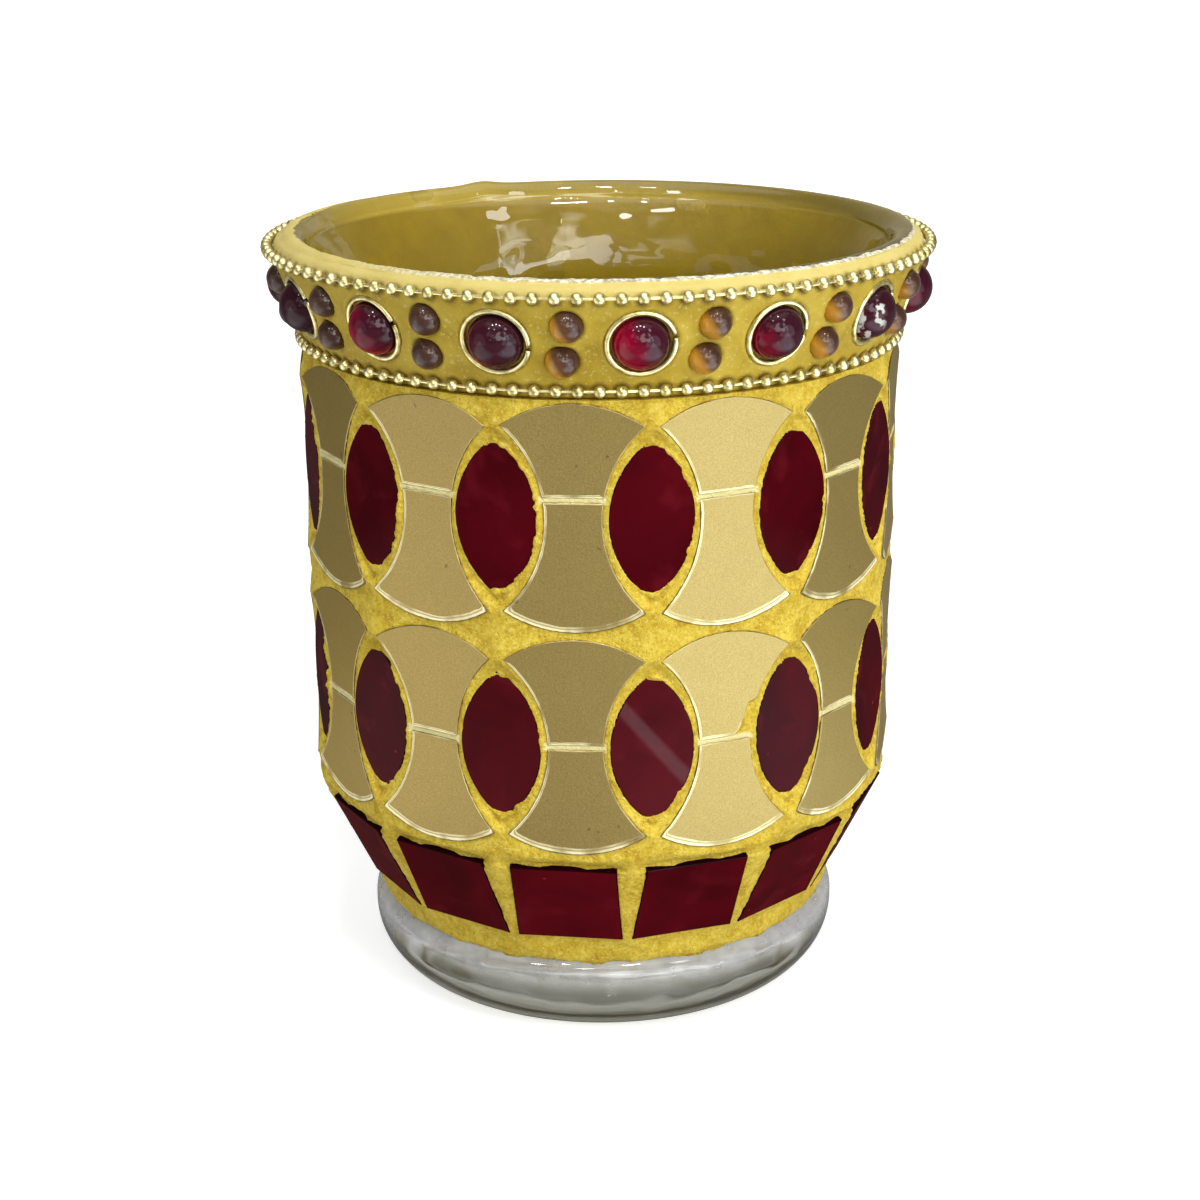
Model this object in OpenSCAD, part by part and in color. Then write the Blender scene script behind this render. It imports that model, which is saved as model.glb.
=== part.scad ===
// Mosaic candle cup: a pressed-glass vessel with glass tiles set in grout on its outside,
// and under the lip a clay band that holds ball chain, cabochons in split rings and half beads.
// Millimetres, +Z up, origin at the middle of the foot's underside. Angle 0 faces -Y and
// angles grow towards +X.

/* [Glass] */
// Height from the table to the top of the lip
cup_h = 100; // [90:1:125]
// Outside radius of the straight glass wall
body_r = 35.75; // [30:0.25:43]
// Thickness of the glass wall
wall_t = 3; // [2:0.1:4]
// Radius of the rounded lip's section
lip_round = 2; // [1.5:0.1:2.4]
// How far the middle of the lip stands out from the wall's outside
lip_reach = 3.15; // [2.5:0.05:3.6]
// Height over which the wall flares out to the lip
flare_h = 12; // [10:0.5:16]
// Thickness of the glass floor
floor_t = 9; // [7:0.5:11]
// Rounding between the floor and the wall inside
floor_round = 4; // [2:0.5:6]
// How far the foot's side stands in from the wall's outside
foot_inset = 4.25; // [3.5:0.25:6]
// Rounding of the foot's lower edge
foot_round = 7.5; // [4:0.25:8]
// Height of the foot's short upright side
foot_side_h = 0.9; // [0.3:0.1:2]
// Rounding of the foot's upper shoulder
shoulder_round = 3.1; // [2:0.1:3.5]
// Radius of the hollow under the foot
kick_r = 18; // [10:0.5:21]
// Depth of the hollow under the foot
kick_depth = 1.2; // [0.5:0.1:2]
// Height at which the wall starts to taper towards the foot
taper_z = 28.9; // [27:0.1:34]
// Slope of the taper from the upright
taper_angle = 25.8; // [22:0.2:27]

/* [Mosaic] */
// Tile columns round the cup
columns = 13; // [12:1:14]
// Angle of the column nearest the front
column_turn = -4.85; // [-14:0.05:14]
// Thickness of every tile
tile_t = 2; // [1.5:0.1:2.5]
// Adhesive bed under a tile's middle
bed_t = 0.3; // [0.2:0.05:0.6]
// How far a gold tile's middle stands out of the grout
tile_proud = 0.25; // [0.1:0.05:0.5]
// Width of a gold tile at its waist
waist_w = 6.8; // [5:0.1:8]
// Grout from a gold tile's corner to the next column's plane
corner_joint = 0.93; // [0.7:0.01:1.4]
// Grout from a gold tile's waist to the lens beside it
lens_joint = 0.75; // [0.65:0.05:1.2]
// Grout line between the two halves of a gold tile
seam_joint = 0.6; // [0.4:0.05:1]
// Rise of a gold tile's outer arc over its corners
crown_h = 2.6; // [1.5:0.1:3.5]
// Grout between the two rows at the tiles' crowns
row_joint = 0.9; // [0.7:0.05:2]
// Height that a lens is shorter than the corners beside it
lens_short = 3.1; // [2:0.1:6]
// Gap between the upper tiles' crowns and the clay
hem_joint = 0.3; // [0.2:0.05:0.8]
// Clearance round each tile in its pocket
tile_fit = 0.05; // [0.03:0.01:0.08]
// Length of tile edge that is broken off at one gold tile's waist
chip_w = 2.2; // [1:0.1:3]
// Height of that broken corner
chip_h = 4.3; // [2:0.1:6]

/* [Base tiles] */
// Square ruby tiles round the taper
base_count = 14; // [13:1:14]
// Angle of the base tile nearest the front
base_turn = -7.6; // [-12:0.1:12]
// Grout between two base tiles at their lower corners
base_joint = 0.42; // [0.3:0.02:1]
// Height from the taper's start down to the base tiles' upper edge
base_drop = 0.9; // [0.5:0.1:1.2]
// Height of the grout's lower edge on the foot, as an angle round its shoulder
grout_edge_angle = 50; // [40:1:60]

/* [Clay band] */
// Height of the upper chain below the lip's top
upper_chain_drop = 1.7; // [1.4:0.05:2]
// Height between the two chains
chain_gap_h = 11.3; // [11:0.1:13]
// Radius of the upper chain, outside the wall's outside
upper_chain_reach = 6.25; // [6.1:0.05:6.6]
// Radius of the lower chain, outside the wall's outside
lower_chain_reach = 2.55; // [2.4:0.05:2.8]
// Clay below the lower chain
clay_hem_h = 1.1; // [1:0.05:2]
// Angle round the lip's section at which the clay ends
clay_edge_angle = 56; // [45:1:65]
// Gap between the glass and what is bonded to it
bond_gap = 0.05; // [0.03:0.01:0.1]

/* [Ball chain] */
// Beads in the upper chain
upper_beads = 106; // [90:1:108]
// Beads in the lower chain
lower_beads = 96; // [80:1:98]
// Diameter of a chain bead
bead_d = 1.5; // [1.3:0.05:1.6]
// Height of the bead's middle above the clay
bead_proud = 0.45; // [0.35:0.05:0.55]
// Metal thickness of a hollow bead
bead_wall = 0.15; // [0.1:0.01:0.2]
// Diameter of a link's pin
pin_d = 0.4; // [0.3:0.05:0.4]
// Clearance between a pin and the holes in its beads
pin_fit = 0.03; // [0.03:0.005:0.04]

/* [Stones] */
// Cabochons round the band
cabochon_count = 15; // [12:1:15]
// Angle of the cabochon nearest the front
cabochon_turn = 6.8; // [-12:0.1:12]
// Diameter of a cabochon
cabochon_d = 6.6; // [6:0.1:6.8]
// Height of a cabochon's dome over its girdle
cabochon_h = 2.7; // [2:0.1:3.2]
// Depth to which stones and rings are pressed into the clay
stone_seat = 0.8; // [0.6:0.05:0.9]
// Wire thickness of the split rings
ring_wire_d = 0.7; // [0.5:0.05:0.8]
// Gap between a cabochon and its ring
ring_gap = 0.25; // [0.15:0.05:0.3]
// Opening where a split ring's ends meet, as an angle
ring_split_angle = 7; // [4:1:15]
// Turn of the splits from the ring's lower side to the right
ring_split_turn = 105; // [0:5:355]
// Diameter of an amber half bead
amber_d = 3.9; // [3.5:0.1:4.1]
// Distance between the two beads of a pair along the band
amber_step = 4.5; // [4.4:0.05:4.7]
// Distance of a pair's lower bead to the left of the upper one
amber_shift = 0.7; // [0:0.1:1]
// Clearance round each stone in its seat
stone_fit = 0.05; // [0.03:0.01:0.08]

/* [Hidden] */
cabochon_nodes = [for (i = [1:cabochon_count]) str("cabochon_", i)];
ring_nodes = [for (i = [1:cabochon_count]) str("cabochon_ring_", i)];
gold_nodes = [for (i = [1:4]) str("gold_tiles_", i)];
base_nodes = [for (i = [1:base_count]) str("base_tile_", i)];
// Sides of a round face
$fn = 96;
// Sides of the thin skins round the glass
skin_sides = 240;
arc_steps = 12;
overrun = 2;
// Seam height in the lower and the upper row, over the row's height
seam_shares = [0.506, 0.585];
// Small turns and lifts of pieces set by hand, and the angles that scatter them
hand_turn_angle = 0.5;
hand_lift = 0.15;
ring_stray_angle = 25;
scatter_angle = 137.5;
scatter_start = 40;
glass_colour = [0.8, 0.84, 0.8, 0.45];
grout_colour = [0.92, 0.8, 0.36];
clay_colour = [0.74, 0.65, 0.28];
brass_colour = [0.8, 0.7, 0.38];
gold_colour = [0.72, 0.62, 0.38];
ruby_colour = [0.4, 0.02, 0.07];
amber_colour = [0.6, 0.33, 0.12];

// Lip and flare: the flare ends where its slope meets the lip's round section
lip_r = body_r + lip_reach;
lip_z = cup_h - lip_round;
lip_join_angle = 35;
flare_z = lip_z - flare_h;
// The taper's cone and the foot
foot_r = body_r - foot_inset;
foot_side_z = foot_round + foot_side_h;
neck_z = foot_side_z + shoulder_round;
// Tile planes
tile_back = body_r + bed_t;
tile_face = tile_back + tile_t;
grout_r = tile_face - tile_proud;
column_step = 360 / columns;
// Clay band: a cone whose line runs below both chains
upper_chain_z = cup_h - upper_chain_drop;
lower_chain_z = upper_chain_z - chain_gap_h;
upper_chain_r = body_r + upper_chain_reach;
lower_chain_r = body_r + lower_chain_reach;
band_tilt = atan((upper_chain_r - lower_chain_r) / chain_gap_h);
clay_low_z = lower_chain_z - clay_hem_h;
stone_z = (upper_chain_z + lower_chain_z) / 2;
stone_r = (upper_chain_r + lower_chain_r) / 2;
// Tile rows between the taper and the clay
head_z = clay_low_z - hem_joint - hand_lift;
tail_z = taper_z + row_joint / 2;
row_h = (head_z - tail_z - row_joint) / 2;
seam_z = [tail_z + seam_shares[0] * row_h, tail_z + row_h + row_joint + seam_shares[1] * row_h];
// Heights from the seam to the crown above and below, for each row
rise = [(1 - seam_shares[0]) * row_h, (1 - seam_shares[1]) * row_h];
fall = [seam_shares[0] * row_h, seam_shares[1] * row_h];
half_w = tile_face * tan(column_step / 2) - corner_joint;
crown_r = (half_w * half_w + crown_h * crown_h) / (2 * crown_h);
corner_h = row_h / 2 - crown_h;
side_sink = half_w - waist_w / 2;
side_r = (corner_h * corner_h + side_sink * side_sink) / (2 * side_sink);
lens_half_w = tile_face * tan(column_step / 2 - atan(waist_w / 2 / tile_face)) - lens_joint;
lens_half_h = corner_h - lens_short / 2;
lens_r = (lens_half_h * lens_half_h + lens_half_w * lens_half_w) / (2 * lens_half_w);
// Base tile planes, square to the taper; their side fills the ring at its lower edge
base_top_z = taper_z - base_drop;
base_step = 360 / base_count;
base_back = cone_r(base_top_z) + bed_t * cos(taper_angle);
base_share = 2 * tan(base_step / 2);
base_tile_w = (base_back * base_share - base_joint) / (1 + base_share * sin(taper_angle));
// Middle of a split ring's wire
ring_r = cabochon_d / 2 + ring_gap + ring_wire_d / 2;

function arc(r0, z0, r, a0, a1) =
    [for (i = [0:arc_steps]) let (a = a0 + (a1 - a0) * i / arc_steps) [r0 + r * cos(a), z0 + r * sin(a)]];

// Points of a flare from a straight wall to a point on the lip, which it meets at a slope
function flare(r0, z0, end) =
    [for (i = [0:arc_steps]) let (u = i / arc_steps)
        [r0 + (end[0] - r0) * (1 - cos(90 * u)), z0 + (end[1] - z0) * u]];

function reversed(points) = [for (i = [len(points) - 1:-1:0]) points[i]];

// Radius of the taper's cone at a height
function cone_r(z) = body_r - (taper_z - z) * tan(taper_angle);

// Outside of the glass from the foot to the lip, pushed out by a gap
function glass_outside(gap) = concat(
    arc(foot_r - foot_round, foot_round, foot_round + gap, -90, 0),
    arc(foot_r - shoulder_round, foot_side_z, shoulder_round + gap, 0, 90),
    [[cone_r(neck_z) + gap, neck_z + gap], [body_r + gap, taper_z]],
    flare(body_r + gap, flare_z, lip_point(-lip_join_angle, gap)),
    arc(lip_r, lip_z, lip_round + gap, -lip_join_angle, 180 - lip_join_angle)
);

function lip_point(angle, gap) =
    [lip_r + (lip_round + gap) * cos(angle), lip_z + (lip_round + gap) * sin(angle)];

// Small repeatable offset between -1 and 1 for hand-set pieces
function stray(i) = sin(i * scatter_angle + scatter_start);

module glass_section() {
    inner_r = body_r - wall_t;
    inner_drop = wall_t / cos(taper_angle);
    round_z = floor_t + floor_round;
    round_r = cone_r(round_z) - inner_drop - floor_round / cos(taper_angle);
    polygon(concat(
        [[0, kick_depth], [kick_r - kick_depth, kick_depth], [kick_r, 0]],
        glass_outside(0),
        reversed(flare(inner_r, flare_z, lip_point(180 - lip_join_angle, 0))),
        [[inner_r, taper_z + (inner_drop - wall_t) / tan(taper_angle)]],
        reversed(arc(round_r, round_z, floor_round, -90, -taper_angle)),
        [[0, floor_t]]
    ));
}

module glass_cup() {
    color(glass_colour) rotate_extrude() glass_section();
}

// Fills the space inside the glass's outside plus a gap
module glass_fill(gap) {
    polygon(concat([[0, 0]], glass_outside(gap), [[0, cup_h]]));
}

// Moves a piece that faces +X to its angle round the cup
module at_angle(angle) {
    rotate([0, 0, angle - 90]) children();
}

// Sets an outline upright, facing out, with its back at a radius
module upright(r, z) {
    translate([r, 0, z]) rotate([90, 0, 90]) children();
}

// One half of a gold tile in the plane of its face; y runs up from the seam
module gold_outline(row, upper, grow, chipped) {
    crown = upper ? rise[row] : -fall[row];
    side = upper ? 1 : -1;
    middle = (rise[row] - fall[row]) / 2;
    difference() {
        intersection() {
            translate([0, crown - side * crown_r]) circle(r = crown_r + grow);
            translate([-half_w - overrun, upper ? seam_joint / 2 - grow : -row_h])
                square([2 * (half_w + overrun), row_h - seam_joint / 2 + grow]);
        }
        for (s = [-1, 1])
            translate([s * (waist_w / 2 + side_r), middle]) circle(r = side_r - grow);
        if (chipped)
            polygon([
                [waist_w / 2 - chip_w + grow, 0],
                [waist_w / 2 + grow, chip_h],
                [waist_w / 2 + chip_w, chip_h],
                [waist_w / 2 + chip_w, 0]
            ]);
    }
}

module lens_outline(grow) {
    reach = lens_r - lens_half_w;
    intersection() {
        translate([-reach, 0]) circle(r = lens_r + grow);
        translate([reach, 0]) circle(r = lens_r + grow);
    }
}

// Ring 0 and 1 are the lower row's lower and upper halves, 2 and 3 the upper row's
module gold_ring(ring, grow, depth) {
    row = floor(ring / 2);
    upper = ring % 2 == 1;
    for (c = [0:columns - 1])
        at_angle(column_turn + c * column_step)
            upright(tile_back - grow, seam_z[row] + hand_lift * stray(c + row * columns))
                rotate([0, 0, hand_turn_angle * stray(2 * c + row)])
                    linear_extrude(depth) gold_outline(row, upper, grow, ring == 1 && c == 1);
}

module lens_ring(row, grow, depth) {
    middle = (rise[row] - fall[row]) / 2;
    for (c = [0:columns - 1])
        at_angle(column_turn + (c + 0.5) * column_step)
            upright(tile_back - grow, seam_z[row] + middle)
                linear_extrude(depth) lens_outline(grow);
}

module base_tile_at(i, grow, depth) {
    at_angle(base_turn + (i - 1) * base_step)
        translate([cone_r(base_top_z), 0, base_top_z])
            rotate([0, taper_angle, 0])
                translate([bed_t - grow, -base_tile_w / 2 - grow, -base_tile_w - grow])
                    cube([depth, base_tile_w + 2 * grow, base_tile_w + 2 * grow]);
}

module grout_section() {
    recess = (bed_t + tile_t - tile_proud) / cos(taper_angle);
    edge = [
        foot_r - shoulder_round + shoulder_round * cos(grout_edge_angle),
        foot_side_z + shoulder_round * sin(grout_edge_angle)
    ];
    skirt_z = base_top_z - base_tile_w * cos(taper_angle);
    difference() {
        polygon([
            [0, edge[1]], edge,
            [cone_r(skirt_z) + recess, skirt_z],
            [grout_r, taper_z + (grout_r - body_r - recess) / tan(taper_angle)],
            [grout_r, clay_low_z - bond_gap],
            [0, clay_low_z - bond_gap]
        ]);
        glass_fill(bond_gap);
    }
}

module grout() {
    deep = tile_t + overrun;
    color(grout_colour)
        difference() {
            rotate_extrude($fn = skin_sides) grout_section();
            for (ring = [0:3]) gold_ring(ring, tile_fit, deep);
            for (row = [0:1]) lens_ring(row, tile_fit, deep);
            for (i = [1:base_count]) base_tile_at(i, tile_fit, deep);
        }
}

module gold_tiles(ring) {
    color(gold_colour) gold_ring(ring, 0, tile_t);
}

module ruby_lenses(row) {
    color(ruby_colour) lens_ring(row, 0, tile_t);
}

module base_tile(i) {
    color(ruby_colour) base_tile_at(i, 0, tile_t);
}

// Sets a piece on the band's face, facing out, at a distance up the band from its middle
module on_band(up) {
    translate([stone_r, 0, stone_z])
        rotate([0, 90 + band_tilt, 0])
            translate([-up, 0, -bead_proud]) children();
}

module cabochon_place(i) {
    at_angle(cabochon_turn + (i - 1) * 360 / cabochon_count) on_band(0) children();
}

module amber_place(i, upper) {
    shift_angle = upper ? 0 : atan(amber_shift / stone_r);
    at_angle(cabochon_turn + (i - 0.5) * 360 / cabochon_count - shift_angle)
        on_band(upper ? amber_step / 2 : -amber_step / 2) children();
}

module clay_section() {
    inset = [bead_proud * cos(band_tilt), bead_proud * sin(band_tilt)];
    difference() {
        polygon([
            [0, clay_low_z],
            [lower_chain_r - inset[0], clay_low_z],
            [lower_chain_r - inset[0], lower_chain_z + inset[1]],
            [upper_chain_r - inset[0], upper_chain_z + inset[1]],
            lip_point(clay_edge_angle, 0),
            [lip_r, lip_z]
        ]);
        glass_fill(bond_gap);
        translate([upper_chain_r, upper_chain_z]) circle(d = bead_d + 2 * bond_gap);
        translate([lower_chain_r, lower_chain_z]) circle(d = bead_d + 2 * bond_gap);
    }
}

module seat(depth, r) {
    translate([0, 0, -depth]) cylinder(h = depth + overrun, r = r);
}

module clay_band() {
    ring_seat = ring_wire_d / 2 + stone_fit;
    color(clay_colour)
        difference() {
            rotate_extrude($fn = skin_sides) clay_section();
            for (i = [1:cabochon_count])
                cabochon_place(i) {
                    seat(stone_seat, cabochon_d / 2 + stone_fit);
                    seat(ring_seat, ring_r + ring_seat);
                }
            for (i = [1:cabochon_count], upper = [true, false])
                amber_place(i, upper) seat(stone_seat, amber_d / 2 + stone_fit);
        }
}

// A domed stone: a short girdle in its seat and a cap of a sphere over it
module dome(d, cap_h, seat) {
    cap_r = (d * d / 4 + cap_h * cap_h) / (2 * cap_h);
    translate([0, 0, stone_fit - seat]) cylinder(h = seat - stone_fit, d = d);
    intersection() {
        translate([0, 0, cap_h - cap_r]) sphere(r = cap_r);
        cylinder(h = cap_h, d = d);
    }
}

module cabochon(i) {
    color(ruby_colour) cabochon_place(i) dome(cabochon_d, cabochon_h, stone_seat);
}

module cabochon_ring(i) {
    color(brass_colour)
        cabochon_place(i)
            rotate([0, 0, ring_split_turn + ring_stray_angle * stray(i)])
                rotate_extrude(angle = 360 - ring_split_angle)
                    translate([ring_r, 0]) circle(d = ring_wire_d, $fn = 24);
}

module amber_beads(upper) {
    color(amber_colour)
        for (i = [1:cabochon_count])
            amber_place(i, upper) dome(amber_d, amber_d / 2 - stone_fit, stone_seat);
}

// Hollow beads, drilled along the chain
module chain_beads(r, z, count) {
    color(brass_colour)
        for (i = [0:count - 1])
            at_angle(i * 360 / count)
                translate([r, 0, z])
                    difference() {
                        sphere(d = bead_d, $fn = 24);
                        sphere(d = bead_d - 2 * bead_wall, $fn = 24);
                        rotate([90, 0, 0])
                            cylinder(h = 2 * bead_d, d = pin_d + 2 * pin_fit, center = true, $fn = 16);
                    }
}

// Pins between neighbouring beads, with a head inside each bead
module chain_links(r, z, count) {
    step = 360 / count;
    hollow_r = bead_d / 2 - bead_wall;
    head_gap = 2 * r * sin(step / 2) - hollow_r;
    color(brass_colour)
        for (i = [0:count - 1])
            at_angle((i + 0.5) * step)
                translate([r * cos(step / 2), 0, z]) {
                    rotate([90, 0, 0]) cylinder(h = head_gap, d = pin_d, center = true, $fn = 16);
                    for (s = [-1, 1])
                        translate([0, s * head_gap / 2, 0]) sphere(d = hollow_r - 2 * pin_fit, $fn = 16);
                }
}

module upper_chain_beads() {
    chain_beads(upper_chain_r, upper_chain_z, upper_beads);
}

module upper_chain_links() {
    chain_links(upper_chain_r, upper_chain_z, upper_beads);
}

module lower_chain_beads() {
    chain_beads(lower_chain_r, lower_chain_z, lower_beads);
}

module lower_chain_links() {
    chain_links(lower_chain_r, lower_chain_z, lower_beads);
}

glass_cup();
grout();
clay_band();
upper_chain_beads();
upper_chain_links();
lower_chain_beads();
lower_chain_links();
amber_beads(true);  // amber_beads_upper
amber_beads(false);  // amber_beads_lower
ruby_lenses(0);  // ruby_lenses_lower
ruby_lenses(1);  // ruby_lenses_upper
for (i = [1:4]) gold_tiles(i - 1);
for (i = [1:cabochon_count]) cabochon(i);
for (i = [1:cabochon_count]) cabochon_ring(i);
for (i = [1:base_count]) base_tile(i);
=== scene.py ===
from math import asin, atan, cos, degrees, exp, pi, radians, remainder, sin, sqrt, tan
import bmesh
import bpy
import numpy as np
from mathutils import Matrix, Vector, noise


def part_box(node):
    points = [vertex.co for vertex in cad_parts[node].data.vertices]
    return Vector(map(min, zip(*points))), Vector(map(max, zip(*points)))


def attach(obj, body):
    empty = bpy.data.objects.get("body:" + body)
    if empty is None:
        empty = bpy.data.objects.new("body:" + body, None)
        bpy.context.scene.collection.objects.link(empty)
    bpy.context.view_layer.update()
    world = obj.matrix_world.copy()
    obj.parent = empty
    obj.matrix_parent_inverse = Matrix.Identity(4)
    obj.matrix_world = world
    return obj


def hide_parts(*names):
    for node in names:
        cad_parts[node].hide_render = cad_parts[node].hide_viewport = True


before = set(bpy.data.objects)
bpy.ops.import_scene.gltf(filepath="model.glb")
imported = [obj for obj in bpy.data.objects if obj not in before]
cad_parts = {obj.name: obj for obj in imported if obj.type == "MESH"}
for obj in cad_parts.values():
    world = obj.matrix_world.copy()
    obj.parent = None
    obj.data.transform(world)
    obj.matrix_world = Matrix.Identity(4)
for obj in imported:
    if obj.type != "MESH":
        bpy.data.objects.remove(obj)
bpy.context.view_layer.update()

mm = 0.001


def put_in_scene(name, data):
    thing = bpy.data.objects.new(name, data)
    bpy.context.scene.collection.objects.link(thing)
    return thing


eye = Vector((-0.17, -290.55, 146.16)) * mm
look_down = radians(18.414)
camera_roll = radians(-0.436)
level_right = Vector((1, 0, 0))
level_up = Vector((0, sin(look_down), cos(look_down)))
view_right = level_right * cos(camera_roll) + level_up * sin(camera_roll)
view_up = level_up * cos(camera_roll) - level_right * sin(camera_roll)
camera_data = bpy.data.cameras.new("camera")
camera_data.lens = 68.42
camera_data.sensor_width = 36
camera_data.sensor_fit = "HORIZONTAL"
camera = put_in_scene("camera", camera_data)
facing = Matrix((view_right, view_up, view_right.cross(view_up))).transposed()
camera.matrix_world = Matrix.Translation(eye) @ facing.to_4x4()
bpy.context.scene.camera = camera
bpy.context.scene.view_settings.view_transform = "Standard"


# Room: a pale floor without an edge and a white backdrop, for the camera and the glass. Polished
# surfaces mirror a dimmer room instead, with bright panes in front and a pale ceiling. Soft lamps
# stand round the cup.
class Signal:
    """A node's output that can be used like a number. Each step of arithmetic adds a Math node."""

    def __init__(self, socket):
        self.socket = socket

    __add__ = __radd__ = lambda self, other: calculate("ADD", self, other)
    __mul__ = __rmul__ = lambda self, other: calculate("MULTIPLY", self, other)
    __sub__ = lambda self, other: calculate("SUBTRACT", self, other)
    __rsub__ = lambda self, other: calculate("SUBTRACT", other, self)
    __truediv__ = lambda self, other: calculate("DIVIDE", self, other)
    __rtruediv__ = lambda self, other: calculate("DIVIDE", other, self)


def tree_of(*values):
    return next(value.socket.id_data for value in values if isinstance(value, Signal))


def connect(value, socket):
    """Gives an input a number, a colour or another node's output."""
    value = value.socket if isinstance(value, Signal) else value
    if isinstance(value, bpy.types.NodeSocket):
        socket.id_data.links.new(value, socket)
    else:
        socket.default_value = (*value, 1) if socket.type == "RGBA" and len(value) == 3 else value


def fill(node, **settings):
    """Names with a capital are the node's inputs, and the others are its own properties."""
    for name, value in settings.items():
        if name[0].isupper():
            connect(value, node.inputs[name.replace("_", " ")])
        else:
            setattr(node, name, value)
    return node


def signal(tree, kind, output=0, *values, **settings):
    """One output of a new node. The values go to its inputs in order, and the settings by name."""
    node = fill(tree.nodes.new(kind), **settings)
    for value, socket in zip(values, node.inputs):
        connect(value, socket)
    return Signal(node.outputs[output])


def calculate(operation, *values):
    return signal(tree_of(*values), "ShaderNodeMath", 0, *values, operation=operation)


def mix(factor, first, second):
    node = fill(tree_of(factor, first, second).nodes.new("ShaderNodeMix"), data_type="RGBA")
    for name, value in (("Factor_Float", factor), ("A_Color", first), ("B_Color", second)):
        connect(value, next(s for s in node.inputs if s.identifier == name))
    return Signal(next(s for s in node.outputs if s.identifier == "Result_Color"))


def ray(tree, name):
    return signal(tree, "ShaderNodeLightPath", name)


def towards_viewer(tree, by_camera, by_glass, by_gloss):
    """One strength for camera rays, one through glass, one off polished surfaces, none for the rest."""
    seen = ray(tree, "Is Camera Ray") * by_camera
    for name, strength in (("Is Transmission Ray", by_glass), ("Is Glossy Ray", by_gloss)):
        seen = calculate("MAXIMUM", seen, ray(tree, name) * strength)
    return seen * calculate("LESS_THAN", ray(tree, "Diffuse Depth"), 0.5)


def grows(value, start, end):
    """0 up to the start and 1 from the end on. It falls where the end is below the start."""
    return signal(tree_of(value), "ShaderNodeMapRange", Value=value, From_Min=start, From_Max=end)


def object_place(tree):
    return signal(tree, "ShaderNodeTexCoord", "Object")


def split(vector):
    """X, Y and Z of a vector."""
    node = fill(tree_of(vector).nodes.new("ShaderNodeSeparateXYZ"), Vector=vector)
    return [Signal(part) for part in node.outputs]


world = bpy.data.worlds.new("studio")
bpy.context.scene.world = world
world.use_nodes = True
tree = world.node_tree
soft_light = (0.4, 0.41, 0.42)
white = (1, 1, 1)
dim_room = (0.16, 0.16, 0.17)
backdrop_in_gloss = (0.46, 0.42, 0.29)
bright_panes = (6.5, 6.5, 6.3)
pale_ceiling = (1.5, 1.5, 1.45)
direction = signal(tree, "ShaderNodeTexCoord", "Generated")
to_right, to_back, upwards = split(direction)
panes = signal(tree, "ShaderNodeTexNoise", "Fac", Vector=direction, Scale=2.9, Distortion=0.6)
front = grows(to_back, -0.62, -0.67) * grows(upwards, 0.04, 0.1) * grows(upwards, 0.66, 0.56)
haze = calculate("MAXIMUM", grows(panes, 0.49, 0.54), 0.06) * grows(to_right, -0.7, 0.1)
in_gloss = mix(grows(to_back, 0.55, 0.85), dim_room, backdrop_in_gloss)
in_gloss = mix(grows(upwards, 0.72, 0.85), in_gloss, pale_ceiling)
in_gloss = mix(front * haze, in_gloss, bright_panes)
unseen = mix(ray(tree, "Is Glossy Ray"), soft_light, in_gloss)
colour = mix(towards_viewer(tree, 1.0, 1.0, 0.0), unseen, white)
fill(tree.nodes["Background"], Color=colour)

floor_mesh = bpy.data.meshes.new("floor")
reach = 4.0
floor_corners = [(-reach, -reach, 0), (reach, -reach, 0), (reach, reach, 0), (-reach, reach, 0)]
floor_mesh.from_pydata(floor_corners, [], [(0, 1, 2, 3)])
floor = put_in_scene("floor", floor_mesh)
floor_paint = bpy.data.materials.new("floor_paper")
floor_paint.use_nodes = True
tree = floor_paint.node_tree
tree.nodes.clear()
polished = ray(tree, "Is Glossy Ray")
paper_colour = mix(polished, (0.72, 0.72, 0.72), (0.34, 0.34, 0.34))
paper = signal(tree, "ShaderNodeBsdfDiffuse", Color=paper_colour)
floor_x, floor_y, _ = split(object_place(tree))


def lit_patch(azimuth):
    """Window light on the floor towards an angle, as polished surfaces see it."""
    turn = radians(azimuth)
    out = floor_x * sin(turn) + floor_y * -cos(turn)
    aside = calculate("ABSOLUTE", floor_x * cos(turn) + floor_y * sin(turn))
    return grows(out, 0.055, 0.09) * grows(aside, 0.115, 0.05)


def lit_strip(x, half_width, start, end):
    """A narrow strip of painted light on the floor in front, seen only in reflections, which the flat lens
    over it mirrors.
    """
    soft_end = 8
    along = grows(floor_y, start * mm, (start - soft_end) * mm)
    along *= grows(floor_y, end * mm, (end + soft_end) * mm)
    return along * grows(calculate("ABSOLUTE", floor_x - x * mm), half_width * mm, half_width / 2 * mm)


window_patch = lit_patch(47)
in_gloss = window_patch * 2.9 + lit_patch(-66) * 1.5 + 0.05 + lit_strip(42.3, 2.0, -116, -172) * 8.0
far = calculate("SQRT", floor_x * floor_x + floor_y * floor_y)
by_camera = grows(far, 0.25, 1.0) * 0.38 + 0.62
glow = signal(tree, "ShaderNodeEmission", Strength=towards_viewer(tree, by_camera, 0.6, in_gloss),
    Color=mix(window_patch * polished, white, (0.88, 1.0, 1.12)))
lit_paper = signal(tree, "ShaderNodeAddShader", 0, paper, glow)
fill(tree.nodes.new("ShaderNodeOutputMaterial"), Surface=lit_paper)
floor_mesh.materials.append(floor_paint)


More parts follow.
